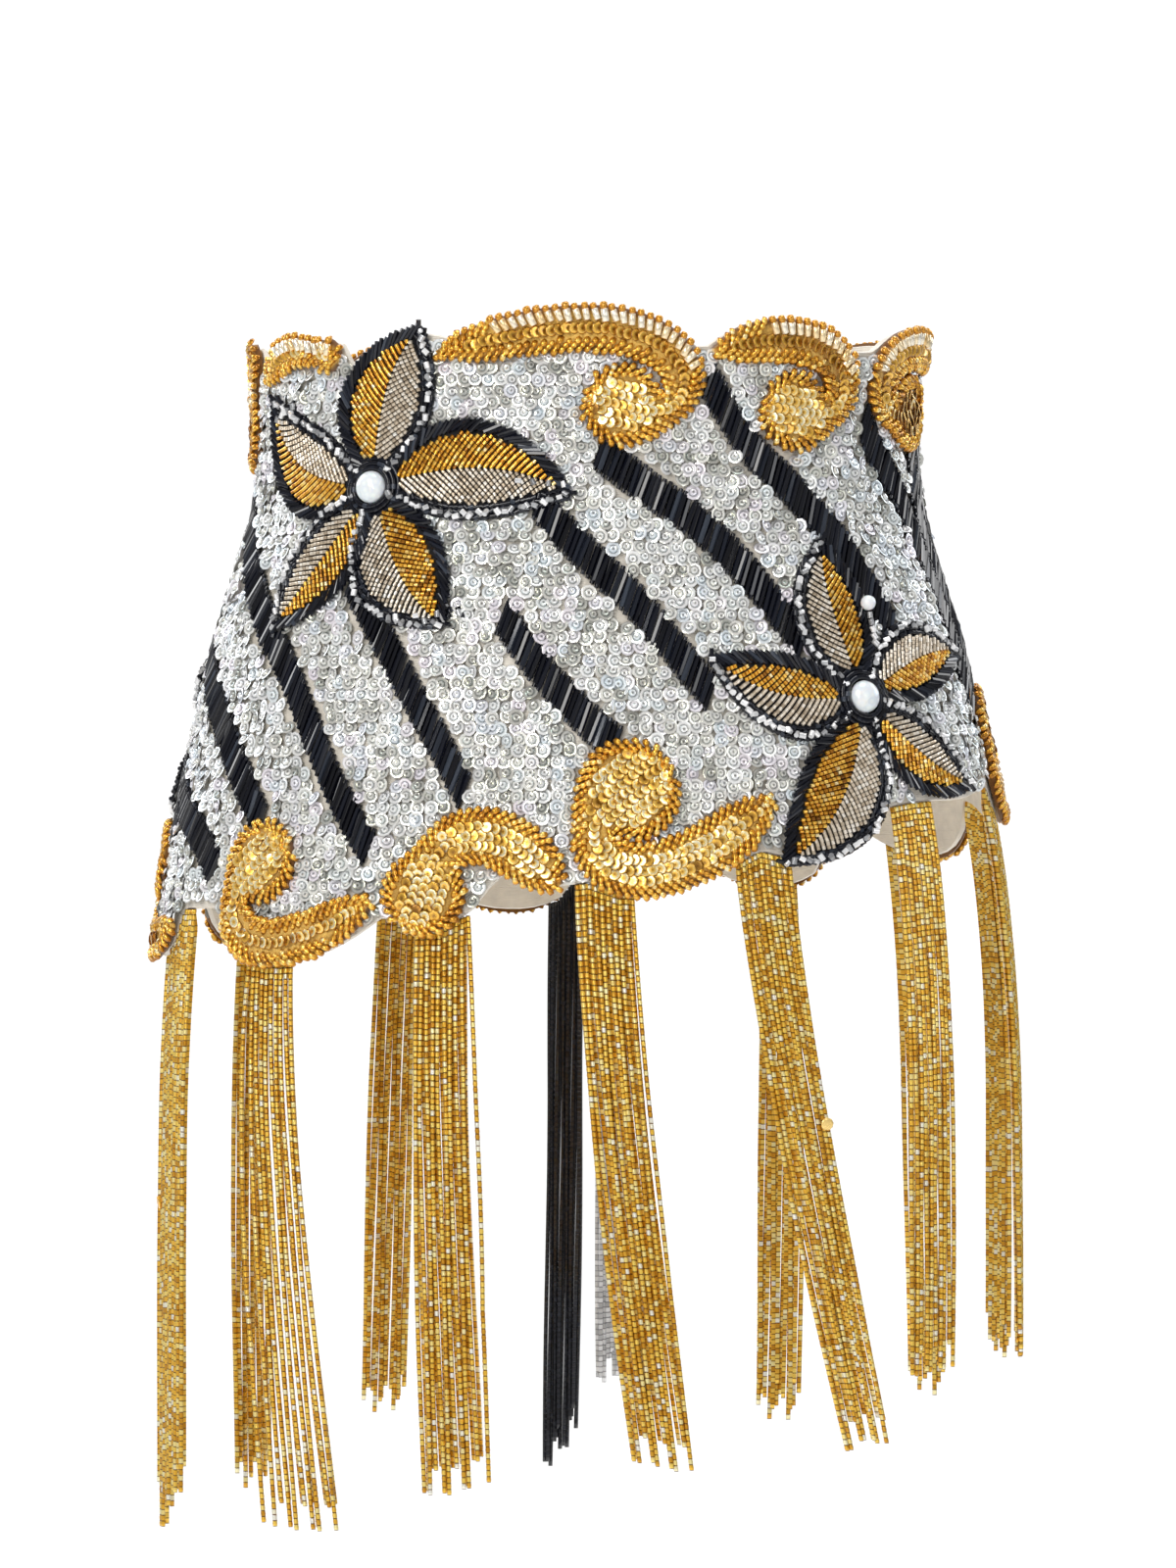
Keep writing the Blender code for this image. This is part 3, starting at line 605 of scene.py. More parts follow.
def gold_sequin():
    """Gold sequins: thin bright discs, each a little paler or deeper than the next, with fine scratches. The
    dark end of the ramp is painted shade, at each rim and hole and on the sequins that stand on edge.
    """
    material, node, set_shader = new_material("gold_sequin", Metallic=0.6, Coat_Weight=0.4)
    tone = node("Attribute", "Fac", attribute_name="tone")
    colour = ramp(node, tone, (
        (0.0, (0.25, 0.10, 0.010)), (0.3, (1.0, 0.56, 0.07)), (0.6, (1.0, 0.78, 0.33)),
        (1.0, (1.0, 0.95, 0.72)),
    ))
    scuff = {"Vector": node("TexCoord", "Object"), "Scale": 900.0, "Detail": 3.0}
    scratches = node("TexNoise", "Fac", scuff)
    rough = node("MapRange", "Result", {"Value": scratches, "To Min": 0.12, "To Max": 0.4})
    set_shader(Base_Color=colour, Roughness=rough)
    return material


def gold_felt():
    """Deep gold felt: a matt, hairy surface, mixed towards dark brown where its tone is low: painted shade
    under the rope.
    """
    material, node, set_shader = new_material("gold_felt", Roughness=0.95, Sheen_Weight=0.5)
    hair = node("TexNoise", "Fac", {"Vector": node("TexCoord", "Object"), "Scale": 1400.0, "Detail": 4.0})
    bright = ramp(node, hair, ((0.3, (0.56, 0.30, 0.04)), (0.7, (0.98, 0.64, 0.16))))
    tone = node("Attribute", "Fac", attribute_name="tone")
    # Painted shade: the dark brown that the felt's tone mixes in under the rope.
    colour = node("Mix", 2, {"Factor": tone, 6: (0.16, 0.06, 0.004, 1), 7: bright}, data_type="RGBA")
    bump = node("Bump", "Normal", {"Strength": 0.5, "Distance": 0.0002, "Height": hair})
    set_shader(Base_Color=colour, Normal=bump)
    return material


# A rope's slanting row of three gold beads. Its last column is painted shade: dark at the waists between the
# beads and at the ends.
gold_bead_row = turned((
    (-0.5, 0.0, 0.3), (-0.48, 0.38, 0.3), (-0.34, 0.5, 1.0), (-0.19, 0.44, 1.0), (-0.155, 0.3, 0.35),
    (0.0, 0.5, 1.0), (0.155, 0.3, 0.35), (0.19, 0.44, 1.0), (0.34, 0.5, 1.0), (0.48, 0.38, 0.3),
    (0.5, 0.0, 0.3),
), 5)
picket = turned((
    (-0.5, 0.0, 0.0), (-0.48, 0.38, 0.0), (-0.45, 0.46, 1.0), (0.12, 0.46, 1.0), (0.16, 0.30, 0.0),
    (0.22, 0.46, 0.0), (0.42, 0.48, 0.0), (0.49, 0.30, 0.0), (0.5, 0.0, 0.0),
), 7)
# A cupped gold sequin. Its last column is painted shade: dark at the rim and the hole, and lighter on the
# face than on the back.
flat_sequin = turned(
    ((-0.02, 0.0, 0.8), (-0.015, 0.5, 0.0), (0.012, 0.5, 0.0), (0.05, 0.36, 1.1), (0.0, 0.0, 0.0)), 9
)
# The palest stops are painted glints; the darkest take the painted shade between the beads of a row.
gold_glass = glass_beads(
    "gold_glass",
    ((0.0, (0.14, 0.05, 0.002)), (0.2, (0.48, 0.19, 0.010)), (0.5, (0.84, 0.42, 0.035)),
     (0.8, (1.0, 0.64, 0.12)), (1.0, (1.0, 0.90, 0.55))),
    Metallic=0.7, Roughness=0.24, Coat_Weight=0.35, Coat_Roughness=0.06,
)
sequin_gold, felt = gold_sequin(), gold_felt()
# The palest stop is a painted glint; the amber stop is the colour of the pickets' heads.
silver_lined = glass_beads(
    "silver_lined_glass",
    ((0.0, (0.66, 0.30, 0.02)), (0.15, (0.80, 0.46, 0.09)), (0.5, (0.98, 0.78, 0.46)),
     (1.0, (1.0, 0.96, 0.84))),
    Metallic=0.6, Roughness=0.18, Coat_Weight=0.6, Coat_Roughness=0.04,
)

for edge in ("hem", "top"):
    group = [scroll for scroll in SCROLLS if scroll.name.startswith(edge)]
    pads, ropes, pickets, scales = [], [], [], []
    for scroll in group:
        pads.append(scroll_pad(scroll))
        scroll_rope(scroll, ropes, pickets)
        scroll_sequins(scroll, scales)
    pad = sewn(f"{edge}_scroll_felt", pads, felt, "gold_beads")
    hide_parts(*(scroll.name for scroll in group))
    sewn(f"{edge}_scroll_rope", ropes, gold_glass, "gold_beads")
    if edge == "top":
        sewn("top_scroll_bugles", pickets, silver_lined, "gold_beads")
    sewn(f"{edge}_scroll_sequins", scales, sequin_gold, "gold_beads")

# ---------------------------------------------------------------- flowers
# Each flower is a padded felt star of five petals. Rows of seed beads run out and forwards from each petal's
# midrib, gold on one half and smoky clear on the other. The gold half is edged with a rope of slanting black
# bugles, and the smoky half with black seed beads and a row of clear ones.
Flower = namedtuple("Flower", "angle height gold_side")  # gold on side 1 is anticlockwise of the midrib
FLOWERS = {
    "flower_left": Flower(-38.5, -0.0205, 1),
    "flower_right": Flower(43.0, -0.1010, -1),
    "flower_side": Flower(-116.0, -0.1120, 1),
}
Petal = namedtuple("Petal", "flower direction swirl length width")  # swirl: how far its tip turns aside
PETALS = [
    Petal(*row) for row in (
        ("flower_left", 87, -16, 0.0650, 0.038),
        ("flower_left", 14, -17, 0.0790, 0.038),
        ("flower_left", -66, 13, 0.0670, 0.037),
        ("flower_left", -122, -2, 0.0660, 0.031),
        ("flower_left", 174, -28, 0.0660, 0.034),
        ("flower_right", 106, -11, 0.0610, 0.032),
        ("flower_right", 30, -14, 0.0640, 0.028),
        ("flower_right", -45, 13, 0.0630, 0.029),
        ("flower_right", -108, -17, 0.0775, 0.037),
        ("flower_right", 184, -18, 0.0630, 0.031),
        ("flower_side", 100, -12, 0.0560, 0.031),
        ("flower_side", 32, -12, 0.0540, 0.030),
        ("flower_side", -38, 10, 0.0640, 0.028),
        ("flower_side", -112, -4, 0.0500, 0.028),
        ("flower_side", 172, -14, 0.0540, 0.030),
    )
]
PETAL_SIDE = ((0.0, 0.12), (0.14, 0.42), (0.32, 0.84), (0.56, 0.96), (0.80, 0.62), (1.0, 0.0))
FLOWER_CORE = 0.0085
PETAL_RISE = 0.0022  # the felt's thickness under the midrib
PETAL_ROWS = 26
PETAL_ACROSS = np.array([-1.0, -0.75, -0.4, 0.0, 0.4, 0.75, 1.0])
SEED_ROW = 0.00190  # from one row of seed beads to the next
SEED_STEP = 0.00165  # from one bead to the next along its row
SEED_WIDE = 0.00168
SMOKY_SHARE = 0.92  # the smoky beads' width against the gold ones'
ROW_FORWARD = math.radians(54)  # between the midrib and the rows
ROW_BOW = 9.0  # how fast the rows bend forwards, for each metre from the midrib
ROW_BEADS = 16  # more than any row takes
EDGING = 0.0048  # width kept for the petal's edging
EDGE_ROWS = {  # kind of bead, how far inside the petal's edge it lies, from one to the next
    "gold": (("bugle", 0.0012, 0.0022),),
    "smoky": (("black", 0.0032, 0.0020), ("black", 0.0014, 0.0020), ("clear", 0.0004, 0.0030),
              ("black", -0.0008, 0.0020)),
}
BUGLE_SIZE = (0.0072, 0.0019, 0.0019)
BUGLE_SLANT = 37  # degrees between the petal's edge and its bugles
BUGLE_LIFT = 0.0026  # how far the edging beads' middles stand over the motif's back
CLEAR_LIFT = 0.0032
BLACK_LIFT = 0.0018
BEAD_WIDE = 0.0023
CUT_WIDE = 0.0024  # the square-cut clear beads
TRAILS = (  # loose ends of the edging, from one (angle, height) place to another
    ((-29.8, -0.0705), (-19.5, -0.0690)),
    ((-11.5, -0.0185), (-4.0, -0.0200)),
    ((-66.0, 0.0085), (-60.0, 0.0130)),
)
TRAIL_BEADS = 7


def petal_place(petal, reach, aside):
    """Angle and height of a place on a petal, given how far along the midrib and how far to its left it is.
    The bearing from the flower's middle swirls with the square of the reach."""
    flower = FLOWERS[petal.flower]
    swirl = petal.swirl * (reach / petal.length) ** 2
    bearing = np.radians(petal.direction + swirl) + np.arctan2(aside, reach)
    radius = np.hypot(reach, aside)
    up = flower.height + radius * np.sin(bearing)
    return beside(flower.angle, up, radius * np.cos(bearing)), up


def petal_half(petal, reach):
    """Half the petal's width at this reach along its midrib."""
    return eased(PETAL_SIDE, 1, np.asarray(reach) / petal.length) * petal.width / 2


def petal_outline(petal):
    """Angle and height of a closed line round a petal."""
    reach = np.linspace(0.0, petal.length, 60)
    half = petal_half(petal, reach)
    return petal_place(petal, np.append(reach, reach[::-1]), np.append(-half, half[::-1]))


def petal_felt(petal):
    """A petal's felt: its rise is a half ellipse across it, times a half sine from its root to its tip."""
    reach = np.linspace(0.0045, petal.length - 0.0012, PETAL_ROWS)[:, None]
    half = np.maximum(petal_half(petal, reach) - 0.0008, 0.0006)
    dome = PETAL_RISE * np.sqrt(np.clip(1 - 0.9 * PETAL_ACROSS**2, 0, 1))
    rise = dome * (0.5 + 0.5 * np.sin(np.pi * reach / petal.length))
    return padding(rise, *petal_place(petal, reach, half * PETAL_ACROSS))


def toward(here, there):
    """The heading from one (angle, height) place to another, measured on the figure."""
    step = on_figure(*there) - on_figure(*here)
    right, upward, _ = facing(*here)
    return np.degrees(np.arctan2((step * upward).sum(-1), (step * right).sum(-1)))


def petal_seeds(petal, way, heap, share):
    """Rows of seed beads on one half of a petal, which run out and forwards from the midrib over the felt."""
    ahead, out = math.cos(ROW_FORWARD), math.sin(ROW_FORWARD)
    starts = np.arange(FLOWER_CORE - 0.012, petal.length - 0.003, SEED_ROW / out)[:, None]
    along = (np.arange(ROW_BEADS) + 0.5) * SEED_STEP
    reach = starts + along * ahead * (1 + ROW_BOW * along)
    side = along * out + 0 * starts
    inside = side < petal_half(petal, reach) - EDGING + 0.0004
    inside &= (np.hypot(reach, side) > FLOWER_CORE + 0.003) & (reach < petal.length - 0.004)
    reach, side = reach[inside], way * side[inside]
    here = petal_place(petal, reach, side)
    heading = toward(here, petal_place(petal, reach + 0.001 * ahead, side + way * 0.001 * out))
    number = len(reach)
    dome = 1 - 0.55 * (np.abs(side) / petal_half(petal, reach)) ** 2
    level = LAY_GAP + PETAL_RISE * dome + SEED_WIDE * 0.4
    spots = on_figure(*here, level + dice.normal(0, 0.00008, number))
    axes = laid(*here, heading + dice.normal(0, 3, number), tilt=dice.normal(0, 3, number))
    size = (SEED_STEP * 1.02, SEED_WIDE * share, SEED_WIDE * share)
    strew(heap, seed_bead, spots, axes, size, dice.beta(2.4, 2.0, number))


def petal_edging(petal, way, rows):
    """Beads along one side of a petal, a row for each (kind, inset, pitch), each a little uneven."""
    reach = np.linspace(FLOWER_CORE * 0.75, petal.length, 120)
    for kind, inset, pitch in rows:
        side = np.maximum(petal_half(petal, reach) - inset, 0.0002)
        angle, height, heading = paced(*petal_place(petal, reach, way * side), pitch, closed=False)
        number = len(angle)
        if kind == "bugle":
            out = LAY_GAP + BUGLE_LIFT + dice.normal(0, 0.00015, number)
            axes = laid(angle, height, heading + way * (BUGLE_SLANT + dice.normal(0, 5, number)),
                        tilt=9 + dice.normal(0, 3, number), roll=dice.uniform(0, 60, number))
            strew(edge_bugles, bugle, on_figure(angle, height, out), axes, BUGLE_SIZE, dice.random(number))
        elif kind == "clear":
            out = LAY_GAP + CLEAR_LIFT + dice.normal(0, 0.0004, number)
            angle, height = angle + dice.normal(0, 0.2, number), height + dice.normal(0, 0.0005, number)
            axes = laid(angle, height, heading + dice.normal(0, 50, number), tilt=dice.normal(0, 25, number))
            size = CUT_WIDE * (1 + dice.normal(0, 0.08, (number, 1)))
            tones = dice.random(number) ** 0.8
            strew(edge_clears, cut_bead, on_figure(angle, height, out), axes, size, tones)
        else:
            out = LAY_GAP + BLACK_LIFT + dice.normal(0, 0.0002, number)
            axes = laid(angle, height, heading + dice.normal(0, 20, number))
            strew(edge_blacks, seed_bead, on_figure(angle, height, out), axes, BEAD_WIDE, dice.random(number))


# The palest stops are painted glints.
smoky_glass = glass_beads(
    "smoky_glass",
    ((0.0, (0.36, 0.28, 0.19)), (0.4, (0.68, 0.57, 0.43)), (0.8, (0.94, 0.85, 0.72)),
     (1.0, (1.0, 0.98, 0.92))),
    Metallic=0.5, Roughness=0.2, Coat_Weight=0.4, Coat_Roughness=0.05,
)
# The palest stop, a faint blue-grey, is a painted highlight on a few bugles and beads.
black_glass = glass_beads(
    "black_glass",
    ((0.0, (0.002, 0.002, 0.004)), (0.7, (0.006, 0.007, 0.013)), (0.9, (0.014, 0.017, 0.026)),
     (1.0, (0.05, 0.06, 0.08))),
    Roughness=0.07, Specular_IOR_Level=0.32, Coat_Weight=0.25, Coat_Roughness=0.03,
)
# The spread from grey to white is painted light, for how each clear bead catches the light; the palest stops
# are painted glints.
clear_glass = glass_beads(
    "clear_glass",
    ((0.0, (0.20, 0.20, 0.21)), (0.35, (0.52, 0.53, 0.54)), (0.7, (0.88, 0.88, 0.89)),
     (1.0, (1.0, 1.0, 1.0))),
    Metallic=0.3, Roughness=0.1, Coat_Weight=0.6, Coat_Roughness=0.03,
)
black_felt = new_material("black_felt", Roughness=0.95, Base_Color=(0.012, 0.012, 0.014, 1))[0]
seed_bead = turned(((-0.5, 0.0), (-0.42, 0.5), (0.42, 0.5), (0.5, 0.0)), 5)
cut_bead = turned(((-0.5, 0.0), (-0.46, 0.20), (-0.5, 0.46), (0.5, 0.46), (0.46, 0.20), (0.5, 0.0)), 6)
bugle = turned(((-0.5, 0.0), (-0.5, 0.5), (0.5, 0.5), (0.5, 0.0)), 6)

felts, gold_rows, smoky_rows, edge_bugles, edge_blacks, edge_clears, motif_lines = ([] for _ in range(7))
for petal in PETALS:
    felts.append(petal_felt(petal))
    motif_lines.append(petal_outline(petal))
    for way in (-1, 1):
        gold = way == FLOWERS[petal.flower].gold_side
        petal_seeds(petal, way, gold_rows if gold else smoky_rows, 1 if gold else SMOKY_SHARE)
        petal_edging(petal, way, EDGE_ROWS["gold" if gold else "smoky"])

for (angle, height), (end_angle, end_height) in TRAILS:
    share = np.linspace(0, 1, TRAIL_BEADS)
    angle, height = angle + (end_angle - angle) * share, height + (end_height - height) * share
    for side in (-0.0012, 0.0012):
        around = beside(angle, height, dice.normal(0, 0.0006, TRAIL_BEADS))
        spots = on_figure(around, height + side, LAY_GAP + 0.0012)
        axes = laid(angle, height, dice.uniform(0, 180, TRAIL_BEADS))
        strew(edge_blacks, seed_bead, spots, axes, BEAD_WIDE, dice.random(TRAIL_BEADS))
    angle, height = angle[::2], height[::2]
    spots = on_figure(angle, height - 0.0004, LAY_GAP + 0.0030)
    axes = laid(angle, height, dice.uniform(0, 180, len(angle)))
    strew(edge_clears, cut_bead, spots, axes, CUT_WIDE, dice.random(len(angle)))

pad = make_piece("flower_felt", *joined(felts), black_felt, "petal_beads")
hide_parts(*FLOWERS)
sewn("petal_gold_rows", gold_rows, gold_glass, "gold_beads")
sewn("petal_smoky_rows", smoky_rows, smoky_glass, "petal_beads")
sewn("petal_black_bugles", edge_bugles, black_glass, "black_beads", sharp=20.0)
sewn("petal_black_beads", edge_blacks, black_glass, "black_beads")
sewn("petal_clear_beads", edge_clears, clear_glass, "clear_beads")

# ---------------------------------------------------------------- stones
# A glued and sewn pearl cabochon at the middle of each flower: a moulded dome with a few flat cuts and a
# milky, shifting lustre, in three rings of black seed beads.
STONE_SIZE = (0.0048, 0.0126, 0.0126)  # rise and width
STONE_OUT = LAY_GAP + 0.0032
STONE_RINGS = ((0.0076, 0.0034), (0.0076 + 0.0018, 0.0030), (0.0076 + 0.0036, 0.0022))  # radius, out
RING_STEP = 0.0019
SMALL_PEARL = (46.6, -0.0655)  # angle and height of the pearl sewn on a petal of the right flower
SMALL_PEARL_WIDE = 0.0060
SMALL_PEARL_OUT = 0.0062
PEARL_DROPS = 5  # clear beads sewn in a line below it
PEARL_PROFILE = (
    (-0.5, 0.0), (-0.46, 0.2), (-0.35, 0.36), (-0.19, 0.46), (0.0, 0.5), (0.19, 0.46), (0.35, 0.36),
    (0.46, 0.2), (0.5, 0.0),
)
dome_turn = np.linspace(0, np.pi / 2, 9)[:-1]
stone = turned([(0.0, 0.0), *zip(np.sin(dome_turn) ** 0.9, 0.5 * np.cos(dome_turn)), (1.0, 0.0)], 28)

pearl, node, set_shader = new_material(
    "pearl_lustre", Roughness=0.16, Coat_Weight=0.8, Coat_Roughness=0.05, Subsurface_Weight=0.15,
    Thin_Film_Thickness=420.0, Thin_Film_IOR=1.4,
)
clouds = node("TexVoronoi", "Distance", {"Vector": node("TexCoord", "Object"), "Scale": 420.0})
milk = ramp(node, clouds, ((0.0, (1.0, 0.98, 0.96)), (0.6, (0.86, 0.86, 0.90)), (1.0, (1.0, 0.95, 0.92))))
cuts = node("Bump", "Normal", {"Strength": 0.6, "Distance": 0.0006, "Height": clouds})
set_shader(Base_Color=milk, Normal=cuts)

stones, rings = [], []
for flower in FLOWERS.values():
    angle, height = np.array([[flower.angle], [flower.height]])
    stones.append(copies(stone, on_figure(angle, height, STONE_OUT), flat_on(angle, height, 0.0), STONE_SIZE))
    for radius, out in STONE_RINGS:
        turn = np.arange(0, 360, 360 / round(2 * np.pi * radius / RING_STEP))
        up = flower.height + radius * np.sin(np.radians(turn))
        here = beside(flower.angle, up, radius * np.cos(np.radians(turn))), up
        spots = on_figure(*here, LAY_GAP + out)
        strew(rings, seed_bead, spots, laid(*here, turn + 90), BEAD_WIDE, dice.random(len(turn)))
cabochons = make_piece("pearl_stones", *joined(stones), pearl, "pearl")
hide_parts(*(name.replace("flower", "stone") for name in FLOWERS))
angle, height = np.array(SMALL_PEARL)[:, None]
ball = copies(
    turned(PEARL_PROFILE, 20), on_figure(angle, height, SMALL_PEARL_OUT), flat_on(angle, height, 0.0),
    SMALL_PEARL_WIDE,
)
make_piece("small_pearl", *ball, pearl, "pearl")
number = np.arange(PEARL_DROPS)
below = height - 0.0045 - 0.0026 * number
axes = laid(angle + 0 * below, below, 90.0 + 12 * number)
drops = []
strew(drops, cut_bead, on_figure(angle + 0.2, below, 0.0052), axes, CUT_WIDE, dice.random(PEARL_DROPS))
sewn("small_pearl_beads", drops, clear_glass, "clear_beads")
sewn("stone_bead_rings", rings, black_glass, "black_beads")

# ---------------------------------------------------------------- black stripes
# Slanting bands of long black bugles, sewn down between the motifs with a black seed bead at each end of
# every bugle. All bugles of the front lie one way, and they lie flatter round the sides.
STRIPES = (  # the middle line of each band of the front and the sides: (angle, height), from the top down
    ((20.8, 0.020), (27.8, -0.0035), (36.2, -0.0205), (46.0, -0.043), (49.5, -0.058), (54.5, -0.0795)),
    ((2.0, -0.0075), (10.0, -0.0215), (17.5, -0.0335), (26.2, -0.0547), (34.0, -0.082)),
    ((-9.5, -0.0225), (-4.0, -0.038), (6.8, -0.064), (15.2, -0.091), (18.0, -0.1005)),
    ((-12.8, -0.0705), (-7.2, -0.0895), (0.0, -0.110), (4.8, -0.121)),
    ((-46.0, -0.040), (-39.8, -0.056), (-32.5, -0.077), (-26.2, -0.0995), (-20.8, -0.120), (-16.5, -0.139)),
    ((-98.0, -0.012), (-85.0, -0.027), (-68.5, -0.0535), (-52.2, -0.085), (-43.5, -0.1115), (-36.8, -0.136),
     (-30.2, -0.1595)),
    ((-126.0, 0.006), (-118.0, -0.018), (-109.5, -0.040), (-100.0, -0.060), (-87.0, -0.0785), (-68.0, -0.107),
     (-56.5, -0.132), (-49.5, -0.151)),
    ((-96.0, -0.113), (-80.5, -0.138), (-67.5, -0.153), (-60.2, -0.1665)),
    ((55.5, 0.008), (57.2, 0.0), (62.0, -0.0115), (65.6, -0.018), (69.0, -0.028), (71.8, -0.044),
     (73.8, -0.058), (75.2, -0.072), (76.8, -0.088), (79.5, -0.104)),
    ((75.2, 0.0), (77.2, -0.014), (78.0, -0.030), (78.4, -0.044), (80.2, -0.058), (81.6, -0.072),
     (83.2, -0.088), (85.8, -0.104)),
    ((81.6, 0.004), (83.6, -0.014), (84.4, -0.030), (84.9, -0.044), (86.6, -0.058), (88.0, -0.072),
     (89.6, -0.088), (92.2, -0.104)),
)
BACK_STRIPES = (104.0, 127.0, 150.0, 173.0, -164.0, -141.0)  # where the bands behind start at the top
BACK_STRIPE_RUN = (
    (0.0, 0.004), (9.0, -0.022), (22.0, -0.050), (36.0, -0.082), (48.0, -0.112), (60.0, -0.150),
)
STRIPE_BUGLE = 0.0118
STRIPE_BUGLE_WIDE = 0.0023
STRIPE_TIGHT = 0.98  # the bugles' pitch against their width
STRIPE_HEADING = 70  # the bugles' lie in front, in degrees from level
STRIPE_TURN = 28  # how much nearer to level they lie round the sides
STRIPE_OUT = 0.0011
STRIPE_UNDER = -0.0012  # how far the bands run in under the motifs
STRIPE_EDGE = 0.003  # from the cloth's edge to the middle of a bugle
STRIPE_STEP = 0.0004  # the steps in which a band's line is followed
END_BEAD = 0.0018
END_GAP = 0.0007  # from a bugle's end to the middle of its bead


def bugle_lie(angle):
    """The heading of the stripes' bugles, which lie flatter the further round the belt they are."""
    return STRIPE_HEADING - STRIPE_TURN * np.clip((np.abs(angle) - 45) / 35, 0, 1) ** 1.5


def clear_of(angle, height, lines, margin):
    """Which places lie outside every closed line by at least this margin, in metres (negative is inside).
    A place is inside when a ray from it crosses the line an odd number of times."""
    keep = np.ones(len(angle), bool)
    for line_angle, line_height in lines:
        turns = np.round((angle - float(np.mean(line_angle))) / 360)
        x = way_round(angle - 360 * turns) * girth(height)
        line_x = way_round(line_angle)[None, :] * girth(height)[:, None]
        next_x, next_height = np.roll(line_x, -1, axis=1), np.roll(line_height, -1)
        span = next_height - line_height
        crosses = (line_height[None, :] > height[:, None]) != (next_height[None, :] > height[:, None])
        at = line_x + (next_x - line_x) * (height[:, None] - line_height) / np.where(span == 0, 1, span)
        inside = (crosses & (x[:, None] < at)).sum(1) % 2 == 1
        run = np.stack([next_x - line_x, np.broadcast_to(span, line_x.shape)], -1)
        away = np.stack([x[:, None] - line_x, height[:, None] - line_height[None, :]], -1)
        share = np.clip((away * run).sum(-1) / np.maximum((run**2).sum(-1), 1e-12), 0, 1)
        gap = np.linalg.norm(away - run * share[..., None], axis=-1).min(1)
        keep &= np.where(inside, -gap, gap) > margin
    return keep


def hem(angle):
    """The height of the cloth's lower edge, straight from one column to the next."""
    return np.interp(angle, cut_angles, cut_hems)


def on_cloth(angle, height, margin):
    """Which places lie on the cloth, at least this far from its top and bottom edges."""
    turned_angle = (angle + 180) % 360 - 180
    below_top = height < np.interp(turned_angle, cut_angles, cut_tops) - margin
    return (height > hem(turned_angle) + margin) & below_top


motif_lines += [scroll_loop(scroll, 0.0003) for scroll in SCROLLS]
back = [tuple((start + along, height) for along, height in BACK_STRIPE_RUN) for start in BACK_STRIPES]
stripe_lines, bugles, ends = [], [], []
for line in (*STRIPES, *back):
    rows = tuple((number, *place) for number, place in enumerate(line))
    at = np.linspace(0, len(rows) - 1, 200)
    angle, height, heading = paced(eased(rows, 1, at), eased(rows, 2, at), STRIPE_STEP, closed=False)
    travelled = np.cumsum(np.abs(np.sin(np.radians(bugle_lie(angle) - heading)))) * STRIPE_STEP
    keep = np.searchsorted(travelled, np.arange(0, travelled[-1], STRIPE_BUGLE_WIDE * STRIPE_TIGHT))
    angle, height = angle[keep], height[keep]
    lie = np.radians(bugle_lie(angle))
    edge_lines = []
    for reach in (STRIPE_BUGLE / 2, -STRIPE_BUGLE / 2):
        up = height + reach * np.sin(lie)
        edge_lines.append((beside(angle, up, reach * np.cos(lie)), up))
    stripe_lines.append([np.append(one, other[::-1]) for one, other in zip(*edge_lines)])
    angle = (angle + 180) % 360 - 180
    seen = clear_of(angle, height, motif_lines, STRIPE_UNDER) & on_cloth(angle, height, STRIPE_EDGE)
    angle, height = angle[seen], height[seen]
    number = len(angle)
    lean = bugle_lie(angle) + dice.normal(0, 1.0, number)
    spots = on_figure(angle, height, STRIPE_OUT + dice.normal(0, 0.00012, number))
    long = STRIPE_BUGLE * (1 + dice.normal(0, 0.02, number))
    size = np.stack([long, np.full(number, STRIPE_BUGLE_WIDE), np.full(number, STRIPE_BUGLE_WIDE)], 1)
    axes = laid(angle, height, lean, tilt=dice.normal(0, 2.0, number), roll=dice.uniform(0, 60, number))
    strew(bugles, bugle, spots, axes, size, dice.random(number))
    for way in (-1, 1):
        reach = way * (long / 2 + END_GAP)
        strew(ends, seed_bead, spots + axes[:, 0] * reach[:, None], axes, END_BEAD, dice.random(number))
sewn("stripe_bugles", bugles, black_glass, "black_beads", sharp=20.0)
sewn("stripe_end_beads", ends, black_glass, "black_beads")

# ---------------------------------------------------------------- clear sequins
# The rest of the cloth is filled with rows of clear cupped sequins that overlap like scales. Each is held by
# a clear seed bead, through which the thread passes.
CLEAR_HEIGHTS = (-0.186, 0.046)  # of the lowest and the highest row
CLEAR_WIDE = 0.0062
CLEAR_ROWS = 0.0043
CLEAR_STEP = 0.0048
CLEAR_OUT = 0.0011
CLEAR_TILT = 9
CLEAR_EDGE = 0.0018  # the least distance from the cloth's edge to a sequin's middle
CLEAR_UNDER = -0.0006  # how far the sequins go in under the motifs
CLEAR_STRIPE = 0.0019  # the least distance from a stripe to a sequin's middle
CUP = (  # along the axis, radius, painted shade: the back, the rim, the cup, and the bead that stands in it
    (-0.03, 0.0, 0.5), (0.04, 0.5, 0.66), (0.075, 0.41, 1.05), (0.02, 0.25, 0.42), (0.18, 0.18, 1.15),
    (0.12, 0.0, 0.15),
)


def each(values, shape):
    """One value for each copy, repeated for all of the copy's points."""
    return np.repeat(values, len(shape[0]))


iridescent, node, set_shader = new_material(
    "iridescent_sequin", Roughness=0.14, Metallic=0.2, Coat_Weight=1.0, Coat_Roughness=0.03,
    Thin_Film_Thickness=380.0, Thin_Film_IOR=1.5, Specular_IOR_Level=0.8,
)
